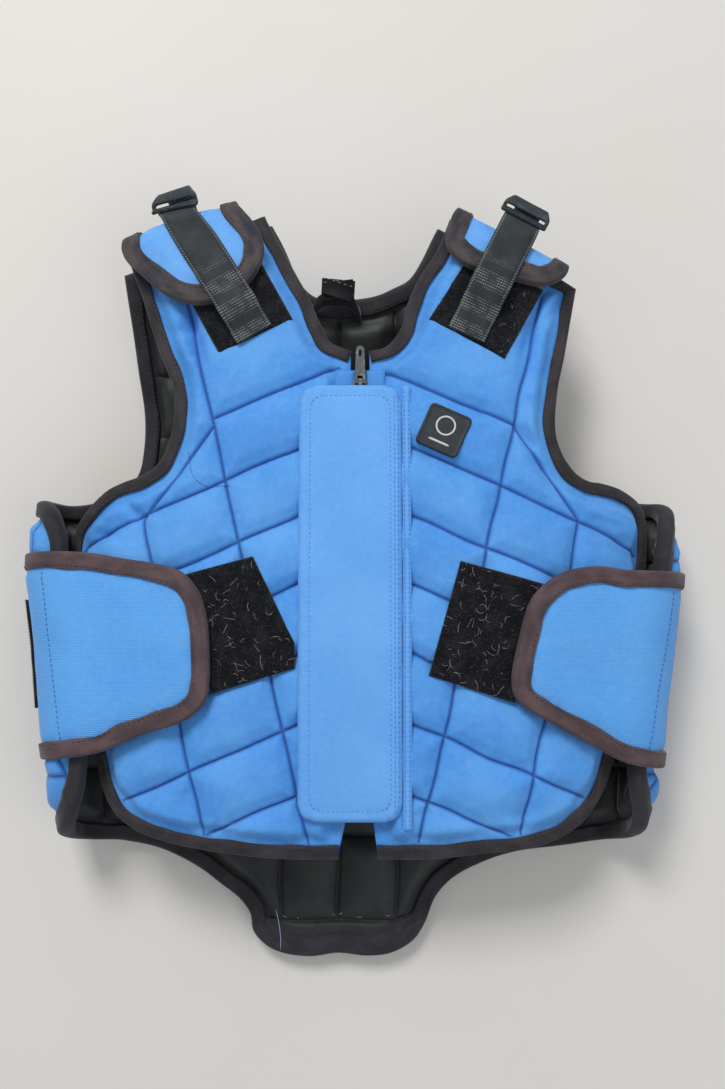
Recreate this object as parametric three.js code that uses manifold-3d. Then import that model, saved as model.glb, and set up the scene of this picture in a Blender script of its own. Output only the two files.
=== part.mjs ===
// An equestrian body protector lying on its back, front up, as it is laid out on a floor.
// Units are millimetres. +X is the wearer's left, +Y runs up to the shoulders and +Z up from the floor.
// Two quilted front halves meet at a zip under a cover flap. They lie over a one-piece quilted back
// whose sides roll up round the body cavity. Belts close the sides, and caps with straps the shoulders.
import * as THREE from "three";
import { mergeVertices } from "three/addons/utils/BufferGeometryUtils.js";
import Module from "manifold-3d";

// Body sizes
const halfWidth = 215; // half of the padded body's width where it is widest
const shoulderRise = 237; // from the waist line up to the shoulder tops
const hemDrop = 172; // from the waist line down to the front hem
const tailDrop = 76; // from the front hem down to the end of the back's tail
const sideHeight = 80; // height of the rolled sides over the floor
const crownHeight = 87; // height of the front's outer face along the zip
const sideFall = 34; // how far the front's outer face falls from the crown to its side edge
const collarLift = 38; // how far the back's shoulders rise from the floor

// Padding and cloth
const padThickness = 18; // foam panel between its two faces
const lipThickness = 5; // panel edge where the binding folds over it
const liningThickness = 1.5;
const grooveDepth = 4; // how far a stitched quilt line sinks into a face
const grooveReach = 9; // half width of the dent along a quilt line
const bevelReach = 9; // width of the slope from the lip up to the full pad
const bindingWidth = 11.5;
const bindingCloth = 1.4;
const bindingClearance = 0.6; // between the binding's inside and the lip
const rolledClearance = 1.4; // the same where the back's sides roll up
const layerGap = 0.35; // between cloth layers that lie on each other
const patchGap = 0.5; // between the front and what is sewn flat on it

// Zip
const zipX = 2.5; // the zip runs a little to the wearer's left of the middle
const zipNeck = 0.606 * shoulderRise; // where the zip meets the neck, up from the waist line
const zipHalfGap = 6; // from the zip's middle to each front half's edge
const zipLevel = -5.6; // the zip's middle, under the front's outer face
const tapeThickness = 1.1;
const tapeWidth = 14;
const rowWidth = 1.3; // one row of teeth
const rowThickness = 2.6;
const rowSpread = 1.4; // how far each row stands off above the slider
const sliderLength = 13;
const sliderWidth = 9;
const sliderDrop = 25.6;
const sliderY = zipNeck - sliderDrop; // middle of the slider
const plateThickness = 0.9;
const pullLength = 25;
const pullWidth = 7;
const pullThickness = 1.2;
const pivotBar = 1.4; // the pull's bar inside the slider's bridge
const pivotClearance = 0.45;
const bridgeWall = 0.9;
const bridgeWidth = 2.4;

// Cover flap
const flapWidth = 64;
const flapLength = 270;
const flapDrop = 23.6;
const flapTop = zipNeck - flapDrop; // up from the waist line
const flapThickness = 3;
const flapBaseWidth = 5.5; // strip by which the flap is sewn on
const flapBaseThickness = 1.2;

// Shoulders
const capThickness = 7;
const capLip = 4.2;
const capRadius = 14; // of the cap's middle where it turns over the shoulder
const capEndSlack = 3.2; // a cap's free end stops this short of the back's binding
const capRunOn = 4; // how far a cap runs past the shoulder's edge before it turns
const strapWidth = 25;
const strapThickness = 1.6;
const hookTapeThickness = 1.8;
const loopWall = 2.4;
const loopGap = 6; // between a loop's two bars
const strapReturn = 14;
const strapClimbStart = 26; // below the cap's foot
const strapClimb = 19;
const barClimbStart = 22; // below the loop's bar
const barClimb = 20; // short run of strap under the loop
const tabRun = 22; // from a loop's far bar to the end of its tab

// Waist belts
const beltThickness = 3;
const beltCloth = 1.1; // of the tape round belts and caps
const beltClearance = 0.7;
const beltHeight = 128;
const beltRootAngle = 35; // degrees above the side's widest line where a belt is sewn on
const beltLeave = 0.56 * halfWidth; // where a belt lifts off the front
const beltSlack = 0.5; // room between a belt and the rolled side

// Small pieces
const badgeSide = 28;
const badgeThickness = 2.2;
const labelThickness = 1.0;
const labelSeat = 0.2; // a cloth label sinks this far into the pad's outer face
const sideLabelLength = 70;
const sideLabelWidth = 17;
const hangerWidth = 7;
const hangerSpan = 28;
const hangerHeight = 9;
const sizeLabelWidth = 22;
const sizeLabelLength = 16;

// Mesh steps
const outlineStep = 21;
const backOutlineStep = 23.5;
const beltOutlineStep = 15;
const capOutlineStep = 11;
const quiltStep = 25;
const backQuiltStep = 40;
const foldSteps = 6;

const radians = THREE.MathUtils.degToRad;
const clamp01 = (t) => Math.min(1, Math.max(0, t));
const smooth = (t) => clamp01(t) ** 2 * (3 - 2 * clamp01(t));
const mix = (a, b, t) => a + (b - a) * t;
const rows = (columns, values) =>
  values.map((row) => Object.fromEntries(columns.map((name, i) => [name, row[i]])));

// Reads a table column at a level between its rows.
function columnAt(table, key, column, level) {
  const last = table.length - 1;
  if (level <= table[0][key]) return table[0][column];
  if (level >= table[last][key]) return table[last][column];
  const i = table.findIndex((row) => row[key] >= level);
  const [low, high] = [table[i - 1], table[i]];
  return mix(low[column], high[column], (level - low[key]) / (high[key] - low[key]));
}

// Levels along the body: 1 shoulder tops, 0 waist line, -1 front hem, -2 tail end.
function levelToY(level) {
  if (level >= 0) return level * shoulderRise;
  if (level >= -1) return level * hemDrop;
  return -hemDrop + (level + 1) * tailDrop;
}
function yToLevel(y) {
  if (y >= 0) return y / shoulderRise;
  if (y >= -hemDrop) return y / hemDrop;
  return -1 + (y + hemDrop) / tailDrop;
}

// How the body lies. Widths are shares of halfWidth, the crown is a share of crownHeight.
const lie = rows(
  ["level", "crown", "right", "left"],
  [
    [-2.0, 0.86, 0.9, 0.86],
    [-1.0, 0.88, 0.9, 0.87],
    [-0.85, 0.9, 0.92, 0.9],
    [-0.5, 0.96, 0.95, 0.93],
    [-0.25, 0.99, 0.97, 0.96],
    [0.0, 1.0, 1.0, 0.99],
    [0.4, 0.985, 1.0, 1.0],
    [0.6, 0.95, 1.0, 1.0],
    [0.8, 0.9, 1.0, 1.0],
    [1.0, 0.84, 1.0, 1.0],
  ]
);
const sides = [
  { name: "right", sign: -1 },
  { name: "left", sign: 1 },
];
const sideRadius = sideHeight / 2;
const frontReach = 0.875 * halfWidth; // where the front's outer face has fallen by sideFall
const fallPower = 5;
const flatHalf = (y, side) => columnAt(lie, "level", side, yToLevel(y)) * halfWidth - sideRadius;

// Outer face of the front halves, as a height over the floor.
function frontHeight(x, y) {
  const crown = columnAt(lie, "level", "crown", yToLevel(y)) * crownHeight;
  return crown - sideFall * Math.min(Math.abs(x) / frontReach, 1.12) ** fallPower;
}

// A point w above the front's outer face. Inside the pad w is negative.
function drapeFront(x, y, w) {
  const h = 0.5;
  const slopeX = (frontHeight(x + h, y) - frontHeight(x - h, y)) / (2 * h);
  const slopeY = (frontHeight(x, y + h) - frontHeight(x, y - h)) / (2 * h);
  const normal = new THREE.Vector3(-slopeX, -slopeY, 1).normalize();
  return new THREE.Vector3(x, y, frontHeight(x, y)).addScaledVector(normal, w);
}

// Height of the back's outer face where it rises to the collar and shoulders.
const collarStart = 0.46 * shoulderRise;
const collarRise = (y) => collarLift * smooth((y - collarStart) / (0.97 * shoulderRise - collarStart));

// A point of the back, w above its outer face. a is measured along the outer face across the body:
// past the flat part it rolls up round the side.
function drapeBack(a, y, w) {
  const side = a < 0 ? "right" : "left";
  const sign = a < 0 ? -1 : 1;
  const flat = flatHalf(y, side);
  const slope = (collarRise(y + 0.5) - collarRise(y - 0.5)) / 1;
  const tilt = Math.atan(slope);
  const rise = collarRise(y);
  if (Math.abs(a) <= flat)
    return new THREE.Vector3(a, y - w * Math.sin(tilt), rise + w * Math.cos(tilt));
  const turn = (Math.abs(a) - flat) / sideRadius;
  const r = sideRadius - w;
  return new THREE.Vector3(sign * (flat + r * Math.sin(turn)), y, rise + sideRadius - r * Math.cos(turn));
}

// Samples a closed outline. Rows flagged sharp end a smooth stretch.
function sampleOutline(points, step) {
  const start = points.findIndex((p) => p.sharp);
  const ring = [...points.slice(start), ...points.slice(0, start), points[start]];
  const out = [];
  let stretch = [ring[0]];
  for (const p of ring.slice(1)) {
    stretch.push(p);
    if (!p.sharp) continue;
    const curve = new THREE.CatmullRomCurve3(
      stretch.map((q) => new THREE.Vector3(q.x, q.y, 0)),
      false,
      "centripetal"
    );
    const n = Math.max(1, Math.round(curve.getLength() / step));
    curve.getSpacedPoints(n).slice(0, -1).forEach((q, i) => {
      out.push({ x: q.x, y: q.y, stretch: stretch[0].stretch, first: i === 0 });
    });
    stretch = [p];
  }
  return out;
}

const signedArea = (loop) =>
  loop.reduce((sum, p, i) => {
    const q = loop[(i + 1) % loop.length];
    return sum + (p.x * q.y - q.x * p.y) / 2;
  }, 0);

// Inward unit directions at each outline point, lengthened at corners so that offsets stay parallel.
function inwardDirections(loop) {
  const turn = Math.sign(signedArea(loop));
  return loop.map((p, i) => {
    const before = loop[(i + loop.length - 1) % loop.length];
    const after = loop[(i + 1) % loop.length];
    const d1 = new THREE.Vector2(p.x - before.x, p.y - before.y).normalize();
    const d2 = new THREE.Vector2(after.x - p.x, after.y - p.y).normalize();
    const n1 = new THREE.Vector2(-d1.y, d1.x).multiplyScalar(turn);
    const n2 = new THREE.Vector2(-d2.y, d2.x).multiplyScalar(turn);
    const mid = n1.clone().add(n2).normalize();
    return mid.multiplyScalar(1 / Math.max(0.6, mid.dot(n1)));
  });
}

function distanceToSegment(x, y, a, b) {
  const [dx, dy] = [b.x - a.x, b.y - a.y];
  const t = clamp01(((x - a.x) * dx + (y - a.y) * dy) / (dx * dx + dy * dy));
  return Math.hypot(x - a.x - t * dx, y - a.y - t * dy);
}
const distanceToLoop = (x, y, loop) =>
  Math.min(...loop.map((p, i) => distanceToSegment(x, y, p, loop[(i + 1) % loop.length])));
const distanceToLines = (x, y, lines) =>
  lines.length ? Math.min(...lines.map(([a, b]) => distanceToSegment(x, y, a, b))) : Infinity;
function isInside(x, y, loop) {
  let inside = false;
  loop.forEach((p, i) => {
    const q = loop[(i + 1) % loop.length];
    const crosses = p.y > y !== q.y > y;
    if (crosses && x < ((q.x - p.x) * (y - p.y)) / (q.y - p.y) + p.x) inside = !inside;
  });
  return inside;
}

// Delaunay triangles over points, added one by one, each as three indices turning counterclockwise.
function delaunay(points) {
  const far = 1e4;
  const wobble = 0.04; // keeps four points from lying on one circle
  const n = points.length;
  const nudge = (p, i) => ({ x: p.x + wobble * Math.sin(7.1 * i), y: p.y + wobble * Math.cos(4.3 * i) });
  const all = points.map(nudge);
  all.push({ x: -far, y: -far }, { x: far, y: -far }, { x: 0, y: far });
  const circle = (i, j, k) => {
    const [a, b, c] = [all[i], all[j], all[k]];
    const d = 2 * (a.x * (b.y - c.y) + b.x * (c.y - a.y) + c.x * (a.y - b.y));
    const [sa, sb, sc] = [a, b, c].map((p) => p.x * p.x + p.y * p.y);
    const x = (sa * (b.y - c.y) + sb * (c.y - a.y) + sc * (a.y - b.y)) / d;
    const y = (sa * (c.x - b.x) + sb * (a.x - c.x) + sc * (b.x - a.x)) / d;
    return { corners: [i, j, k], x, y, reach: (a.x - x) ** 2 + (a.y - y) ** 2 };
  };
  let triangles = [circle(n, n + 1, n + 2)];
  all.slice(0, n).forEach((p, i) => {
    const edges = new Map();
    triangles = triangles.filter((t) => {
      if ((p.x - t.x) ** 2 + (p.y - t.y) ** 2 > t.reach) return true;
      t.corners.forEach((a, k) => {
        const b = t.corners[(k + 1) % 3];
        if (!edges.delete(`${b} ${a}`)) edges.set(`${a} ${b}`, [a, b]);
      });
      return false;
    });
    for (const [a, b] of edges.values()) triangles.push(circle(a, b, i));
  });
  return triangles.map((t) => t.corners).filter((t) => Math.max(...t) < n);
}

const lipDepth = bindingWidth + 1;

// The flat mesh of a panel: its outline, a ring at the lip's end, a ring where the pad is full,
// points along its quilt lines and points along the ridges between them. Each point knows its edge
// distance.
const panelRings = [lipDepth, lipDepth + bevelReach];
function panelMesh(outline, quiltLines, ridges, rings = panelRings, lineStep = quiltStep) {
  const inward = inwardDirections(outline);
  const points = outline.map((p) => ({ x: p.x, y: p.y, edge: 0 }));
  const add = (x, y, edge, apart) => {
    if (!isInside(x, y, outline)) return;
    if (distanceToLoop(x, y, outline) < edge * 0.93) return;
    if (points.some((p) => p.edge > 0 && Math.hypot(p.x - x, p.y - y) < apart)) return;
    points.push({ x, y, edge });
  };
  for (const inset of rings)
    outline.forEach((p, i) => {
      add(p.x + inward[i].x * inset, p.y + inward[i].y * inset, inset, 6);
    });
  const full = rings[rings.length - 1] + 4;
  const addAlong = ([a, b], step, room) => {
    const n = Math.max(1, Math.round(Math.hypot(b.x - a.x, b.y - a.y) / step));
    for (let i = 0; i <= n; i += 1) {
      const [x, y] = [mix(a.x, b.x, i / n), mix(a.y, b.y, i / n)];
      if (distanceToLines(x, y, quiltLines) >= room) add(x, y, full, 8);
    }
  };
  for (const line of quiltLines) addAlong(line, lineStep, 0);
  for (const line of ridges) addAlong(line, lineStep * 0.8, grooveReach);
  const sliver = 0.5; // area of a triangle that lies along a straight edge
  const triangles = delaunay(points).filter((corners) => {
    const [a, b, c] = corners.map((i) => points[i]);
    const area = signedArea([a, b, c]);
    return area > sliver && isInside((a.x + b.x + c.x) / 3, (a.y + b.y + c.y) / 3, outline);
  });
  return { points, triangles, border: outline.length };
}

function geometryFrom(vertices, faces) {
  const geometry = new THREE.BufferGeometry();
  const positions = new Float32Array(vertices.flatMap((v) => [v.x, v.y, v.z]));
  geometry.setAttribute("position", new THREE.BufferAttribute(positions, 3));
  geometry.setIndex(faces.flat());
  // Turn the faces outwards if they came out facing in.
  let volume = 0;
  for (const [i, j, k] of faces)
    volume += vertices[i].dot(new THREE.Vector3().crossVectors(vertices[j], vertices[k]));
  if (volume < 0) geometry.setIndex(faces.map(([i, j, k]) => [i, k, j]).flat());
  geometry.computeVertexNormals();
  return geometry;
}

// A closed sheet over a flat panel mesh, between a lower and an upper face.
function sheetGeometry(mesh, lowerAt, upperAt) {
  const n = mesh.points.length;
  const vertices = [...mesh.points.map(upperAt), ...mesh.points.map(lowerAt)];
  const faces = [];
  for (const [i, j, k] of mesh.triangles) faces.push([i, j, k], [n + k, n + j, n + i]);
  const used = new Set(mesh.triangles.flatMap(([i, j, k]) => [`${i} ${j}`, `${j} ${k}`, `${k} ${i}`]));
  for (const edge of used) {
    const [i, j] = edge.split(" ").map(Number);
    if (!used.has(`${j} ${i}`)) faces.push([j, i, n + i], [j, n + i, n + j]);
  }
  return geometryFrom(vertices, faces);
}

const square = [[0, 0], [1, 0], [1, 1], [0, 1]];

// A solid swept through sections, each a list of points. endShape is the section's flat shape at the
// two ends; a sweep without one joins its ends.
function sweepGeometry(sections, endShape) {
  const m = sections[0].length;
  const vertices = sections.flat();
  const faces = [];
  const count = endShape ? sections.length - 1 : sections.length;
  for (let i = 0; i < count; i += 1) {
    const next = (i + 1) % sections.length;
    for (let k = 0; k < m; k += 1) {
      const [a, b] = [i * m + k, i * m + ((k + 1) % m)];
      const [c, d] = [next * m + k, next * m + ((k + 1) % m)];
      const along = vertices[a].distanceTo(vertices[d]) <= vertices[b].distanceTo(vertices[c]);
      faces.push(...(along ? [[a, b, d], [a, d, c]] : [[a, b, c], [b, d, c]]));
    }
  }
  if (endShape) {
    const contour = endShape.map(([x, y]) => new THREE.Vector2(x, y));
    const cap = THREE.ShapeUtils.triangulateShape(contour, []);
    const end = (sections.length - 1) * m;
    for (const [i, j, k] of cap) faces.push([i, k, j], [end + i, end + j, end + k]);
  }
  return geometryFrom(vertices, faces);
}

const panelTape = { width: bindingWidth, cloth: bindingCloth, clearance: bindingClearance };
const rolledTape = { width: bindingWidth, cloth: bindingCloth, clearance: rolledClearance };
const softTape = { width: bindingWidth, cloth: beltCloth, clearance: beltClearance };
const tapeHalf = (lip, tape) => lip / 2 + tape.clearance + tape.cloth;

// The folded tape over a panel's edge: a U round the lip, swept along the outline.
function bindingGeometry(outline, drape, lipMiddle, lip, range, tape = panelTape) {
  const inward = inwardDirections(outline);
  const inner = lip / 2 + tape.clearance;
  const outer = inner + tape.cloth;
  const nose = -tape.clearance - tape.cloth;
  const shape = [
    [tape.width, outer],
    [nose, outer],
    [nose, -outer],
    [tape.width, -outer],
    [tape.width, -inner],
    [-tape.clearance, -inner],
    [-tape.clearance, inner],
    [tape.width, inner],
  ];
  const picked = outline.map((p, i) => i).filter((i) => !range || range(outline[i]));
  const sections = picked.map((i) =>
    shape.map(([inset, rise]) =>
      drape(outline[i].x + inward[i].x * inset, outline[i].y + inward[i].y * inset, lipMiddle + rise)
    )
  );
  return sweepGeometry(sections, range && shape);
}

const finishes = {
  blueCloth: { color: 0x4f97ea, roughness: 0.85, metalness: 0 },
  blackMesh: { color: 0x15171b, roughness: 0.8, metalness: 0 },
  tape: { color: 0x3d3538, roughness: 0.85, metalness: 0 },
  webbing: { color: 0x2a2e33, roughness: 0.7, metalness: 0 },
  hookTape: { color: 0x0c0c0e, roughness: 1, metalness: 0 },
  plastic: { color: 0x22262b, roughness: 0.45, metalness: 0 },
  metal: { color: 0x6a6c70, roughness: 0.35, metalness: 1 },
};
const body = new THREE.Group();
function place(name, geometry, finish, parent = body) {
  const mesh = new THREE.Mesh(geometry, new THREE.MeshStandardMaterial(finishes[finish]));
  mesh.name = name;
  parent.add(mesh);
  return mesh;
}
const outlineFrom = (table) =>
  table.map((p) => ({ x: p.across * halfWidth, y: levelToY(p.level), sharp: p.sharp, stretch: p.sharp }));

// Front halves. Each outline starts at the zip's foot and runs round by the hem, side, armhole,
// shoulder and neck back to the zip. across is a share of halfWidth.
const frontColumns = ["across", "level", "sharp"];
const frontOutlines = {
  right: rows(frontColumns, [
    [-0.05, -1.0, "hem"],
    [-0.197, -1.0],
    [-0.347, -0.985],
    [-0.498, -0.958],
    [-0.634, -0.912],
    [-0.71, -0.85],
    [-0.75, -0.765],
    [-0.775, -0.64],
    [-0.808, -0.465],
    [-0.854, -0.232],
    [-0.878, -0.03],
    [-0.878, 0.093],
    [-0.85, 0.156],
    [-0.76, 0.228],
    [-0.7, 0.25],
    [-0.634, 0.268],
    [-0.578, 0.304],
    [-0.545, 0.371],
    [-0.534, 0.451],
    [-0.54, 0.515],
    [-0.578, 0.599],
    [-0.615, 0.684],
    [-0.652, 0.781],
    [-0.7, 0.886, "shoulder"],
    [-0.286, 0.997, "neck"],
    [-0.183, 0.819],
    [-0.155, 0.772],
    [-0.117, 0.69],
    [-0.085, 0.635],
    [(zipX - zipHalfGap) / halfWidth, zipNeck / shoulderRise, "zip"],
    [(zipX - zipHalfGap) / halfWidth, -0.75],
  ]),
  left: rows(frontColumns, [
    [0.062, -1.0, "hem"],
    [0.216, -1.0],
    [0.357, -0.983],
    [0.53, -0.959],
    [0.657, -0.884],
    [0.732, -0.767],
    [0.765, -0.651],
    [0.808, -0.465],
    [0.859, -0.232],
    [0.89, 0.0],
    [0.905, 0.09],
    [0.905, 0.155],
    [0.883, 0.203],
    [0.817, 0.236],
    [0.742, 0.25],
    [0.7, 0.253],
    [0.653, 0.274],
    [0.61, 0.325],
    [0.588, 0.388],
    [0.596, 0.498],
    [0.624, 0.608],
    [0.648, 0.709],
    [0.671, 0.802, "shoulder"],
    [0.291, 0.987, "neck"],
    [0.254, 0.903],
    [0.197, 0.819],
    [0.16, 0.738],
    [0.143, 0.675],
    [0.094, 0.62],
    [(zipX + zipHalfGap) / halfWidth, zipNeck / shoulderRise, "zip"],
    [(zipX + zipHalfGap) / halfWidth, -0.75],
  ]),
};

// Quilt lines of a front half: rows that fall away from the zip, and columns that lean out upwards.
const quiltRowFirst = 0.585; // level of the top row at the zip
const quiltRowPitch = 43;
const quiltRowCount = 7;
const quiltRowSlope = 0.43;
const quiltColumns = {
  right: rows(["across", "lean"], [[0.315, 0.235], [0.59, 0.2]]),
  left: rows(["across", "lean"], [[0.36, 0.235], [0.625, 0.2]]),
};
function frontQuilt(side, sign) {
  const lines = [];
  const columns = quiltColumns[side];
  const top = quiltRowFirst * shoulderRise;
  for (let i = 0; i < quiltRowCount; i += 1) {
    const y = top - i * quiltRowPitch;
    const reach = i === 0 ? columns[0].across * halfWidth + columns[0].lean * 100 : halfWidth;
    lines.push([
      { x: sign * zipHalfGap, y: y - quiltRowSlope * zipHalfGap },
      { x: sign * reach, y: y - quiltRowSlope * reach },
    ]);
  }
  columns.forEach((column, i) => {
    const upper = i === 0 ? 0.78 * shoulderRise : 0.15 * shoulderRise;
    const at = (y) => ({ x: sign * (column.across * halfWidth + column.lean * y), y });
    lines.push([at(-hemDrop), at(upper)]);
  });
  const [inner, outer] = columns;
  lines.push([
    { x: sign * (inner.across * halfWidth + inner.lean * 0.4 * shoulderRise), y: 0.4 * shoulderRise },
    { x: sign * (outer.across * halfWidth + outer.lean * 0.15 * shoulderRise), y: 0.15 * shoulderRise },
  ]);
  return lines;
}

// Ridges run midway between the rows.
function frontRidges(sign) {
  const lines = [];
  for (let i = -1; i < quiltRowCount; i += 1) {
    const y = quiltRowFirst * shoulderRise - (i + 0.5) * quiltRowPitch;
    const at = (x) => ({ x: sign * x, y: y - quiltRowSlope * x });
    lines.push([at(zipHalfGap), at(halfWidth)]);
  }
  const aboveTop = (x) => ({ x: sign * x, y: levelToY(0.9) - quiltRowSlope * (x - 0.2 * halfWidth) });
  lines.push([aboveTop(0.2 * halfWidth), aboveTop(0.7 * halfWidth)]);
  return lines;
}

const bevel = (edge) => smooth((edge - lipDepth) / bevelReach);
const groove = (p, lines) =>
  p.edge > lipDepth ? grooveDepth * (1 - smooth(distanceToLines(p.x, p.y, lines) / grooveReach)) : 0;
const lipMiddle = padThickness / 2;

function buildFront({ name, sign }) {
  const outline = sampleOutline(outlineFrom(frontOutlines[name]), outlineStep);
  const lines = frontQuilt(name, sign);
  const mesh = panelMesh(outline, lines, frontRidges(sign));
  const upper = (p) =>
    drapeFront(p.x, p.y, mix(-lipMiddle + lipThickness / 2, 0, bevel(p.edge)) - groove(p, lines));
  const lower = (p) =>
    drapeFront(p.x, p.y, mix(-lipMiddle - lipThickness / 2, -padThickness, bevel(p.edge)));
  place(`front_panel_${name}`, sheetGeometry(mesh, lower, upper), "blueCloth");
  const offZip = (p) => p.stretch !== "zip" || p.first;
  const folded = bindingGeometry(outline, drapeFront, -lipMiddle, lipThickness, offZip);
  place(`front_binding_${name}`, folded, "tape");
}
sides.forEach(buildFront);

// The back: one panel with a tail, and sides that roll up. across is measured along its outer face.
const backOutline = rows(frontColumns, [
  [-0.052, 0.808],
  [-0.141, 0.818],
  [-0.188, 0.853],
  [-0.235, 0.935],
  [-0.272, 0.995, "shoulderRight"],
  [-0.715, 0.872, "armholeRight"],
  [-0.7, 0.75],
  [-0.69, 0.633],
  [-0.676, 0.506],
  [-0.676, 0.4],
  [-0.695, 0.312],
  [-0.742, 0.262],
  [-0.822, 0.23],
  [-0.939, 0.211],
  [-1.08, 0.211],
  [-1.183, 0.203],
  [-1.268, 0.176],
  [-1.319, 0.11],
  [-1.333, 0.0],
  [-1.33, -0.2],
  [-1.305, -0.45],
  [-1.28, -0.65],
  [-1.24, -0.767],
  [-1.174, -0.86],
  [-1.089, -0.918],
  [-0.986, -0.953],
  [-0.854, -0.977],
  [-0.714, -0.99],
  [-0.6, -1.05],
  [-0.484, -1.21],
  [-0.413, -1.355],
  [-0.352, -1.487],
  [-0.324, -1.63],
  [-0.322, -1.79],
  [-0.29, -1.92],
  [-0.235, -1.98],
  [-0.14, -2.0],
  [-0.056, -1.975],
  [0.03, -2.0],
  [0.12, -1.98],
  [0.19, -1.88],
  [0.22, -1.73],
  [0.24, -1.5],
  [0.29, -1.32],
  [0.39, -1.16],
  [0.493, -1.07],
  [0.643, -1.015],
  [0.798, -0.98],
  [0.939, -0.953],
  [1.042, -0.907],
  [1.117, -0.843],
  [1.164, -0.779],
  [1.207, -0.674],
  [1.23, -0.523],
  [1.254, -0.349],
  [1.268, -0.174],
  [1.258, 0.0],
  [1.23, 0.059],
  [1.192, 0.118],
  [1.146, 0.169],
  [1.07, 0.203],
  [0.962, 0.215],
  [0.845, 0.23],
  [0.742, 0.253],
  [0.657, 0.275],
  [0.6, 0.321],
  [0.573, 0.4],
  [0.573, 0.506],
  [0.582, 0.633],
  [0.596, 0.75],
  [0.62, 0.815, "shoulderLeft"],
  [0.26, 0.985, "neckLeft"],
  [0.211, 0.903],
  [0.174, 0.861],
  [0.122, 0.838],
  [0.061, 0.818],
]);
const backMiddle = -0.055 * halfWidth; // the back lies a little to one side under the front
const backColumns = [0, 38.5, 84, 130, 165, 200, 248]; // quilt columns either side of the middle
const tailQuiltHalf = 45; // half length of the quilt line across the tail
const backRowLevels = [-0.98, -0.72, -0.46, -0.2, 0.05, 0.24, 0.43, 0.62];
function backRidges() {
  const lines = [];
  const middles = backColumns.slice(1).map((offset, i) => (offset + backColumns[i]) / 2);
  for (const offset of middles)
    for (const sign of [-1, 1]) {
      const x = backMiddle + sign * offset;
      lines.push([{ x, y: levelToY(offset < 38 ? -1.7 : -1) }, { x, y: levelToY(0.95) }]);
    }
  return lines;
}
function backQuilt() {
  const lines = [];
  backColumns.forEach((offset, i) => {
    for (const sign of offset ? [-1, 1] : [1]) {
      const x = backMiddle + sign * offset;
      const foot = i < 2 ? levelToY(-1.68) : levelToY(-0.98);
      const head = i < 4 ? levelToY(0.8) : levelToY(0.24);
      lines.push([{ x, y: foot }, { x, y: head }]);
    }
  });
  for (const level of backRowLevels) {
    const reach = level > 0.3 ? 0.7 : 1.36;
    lines.push([
      { x: -reach * halfWidth, y: levelToY(level) },
      { x: reach * halfWidth, y: levelToY(level) },
    ]);
  }
  lines.push([
    { x: backMiddle - tailQuiltHalf, y: levelToY(-1.68) },
    { x: backMiddle + tailQuiltHalf, y: levelToY(-1.68) },
  ]);
  return lines;
}

const backThickness = padThickness - liningThickness - layerGap;
function buildBack() {
  const outline = sampleOutline(outlineFrom(backOutline), backOutlineStep);
  const lines = backQuilt();
  const mesh = panelMesh(outline, lines, backRidges(), panelRings, backQuiltStep);
  const backLip = lipThickness - liningThickness - layerGap;
  const lipFoot = lipMiddle - lipThickness / 2;
  const dent = (p) => groove(p, lines) * 0.7;
  const rests = (p) => Math.abs(p.x) < flatHalf(p.y, "left") && p.y < collarStart; // flat on the floor
  const outerDent = (p) => (rests(p) ? 0 : dent(p) * 0.6);
  const inside = (p) => mix(lipFoot + backLip, backThickness, bevel(p.edge)) - dent(p);
  const lower = (p) => drapeBack(p.x, p.y, mix(lipFoot, 0, bevel(p.edge)) + outerDent(p));
  const upper = (p) => drapeBack(p.x, p.y, inside(p));
  const liningFoot = (p) => drapeBack(p.x, p.y, inside(p) + layerGap);
  const liningTop = (p) => drapeBack(p.x, p.y, inside(p) + layerGap + liningThickness);
  place("back_panel", sheetGeometry(mesh, lower, upper), "blueCloth");
  place("back_lining", sheetGeometry(mesh, liningFoot, liningTop), "blackMesh");
  const folded = bindingGeometry(outline, drapeBack, lipMiddle, lipThickness, null, rolledTape);
  place("back_binding", folded, "tape");
}
buildBack();

// Zip: two tapes over the front halves' lips, two rows of teeth that meet below the slider, and the
// slider with its bridge, in which the pull's bar turns.
const zipFoot = -0.96 * hemDrop;
const zipEndDrop = 11.6;
const zipTop = zipNeck - zipEndDrop;
const spreadAt = (y) => rowSpread * smooth((y - (sliderY - sliderLength / 2)) / sliderLength);

// A flat strip along the zip line between two distances from the zip's middle.
function zipStrip(sign, foot, top, innerAt, outerAt, lowW, highW) {
  const count = 12;
  const sections = [];
  for (let i = 0; i <= count; i += 1) {
    const y = mix(foot, top, 1 - (1 - i / count) ** 1.6); // closer together at the slider
    const [a, b] = [zipX + sign * innerAt(y), zipX + sign * outerAt(y)];
    sections.push([
      drapeFront(a, y, lowW),
      drapeFront(b, y, lowW),
      drapeFront(b, y, highW),
      drapeFront(a, y, highW),
    ]);
  }
  return sweepGeometry(sections, square);
}

const wasm = await Module();
wasm.setup();
function toSolid(geometry) {
  const plain = geometry.clone();
  plain.deleteAttribute("normal");
  plain.deleteAttribute("uv");
  const merged = mergeVertices(plain, 1e-4);
  const vertProperties = merged.attributes.position.array;
  return new wasm.Manifold(new wasm.Mesh({ numProp: 3, vertProperties, triVerts: merged.index.array }));
}
function fromSolid(solid) {
  const mesh = solid.getMesh();
  const geometry = new THREE.BufferGeometry();
  geometry.setAttribute("position", new THREE.BufferAttribute(new Float32Array(mesh.vertProperties), 3));
  geometry.setIndex([...mesh.triVerts]);
  geometry.computeVertexNormals();
  return geometry;
}
const boxAt = (w, l, h, x, y, z) => new THREE.BoxGeometry(w, l, h).translate(x, y, z);
const join = (parts) => fromSolid(parts.map(toSolid).reduce((a, b) => a.add(b)));
const cut = (whole, holes) => fromSolid(holes.map(toSolid).reduce((a, b) => a.subtract(b), toSolid(whole)));

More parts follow.
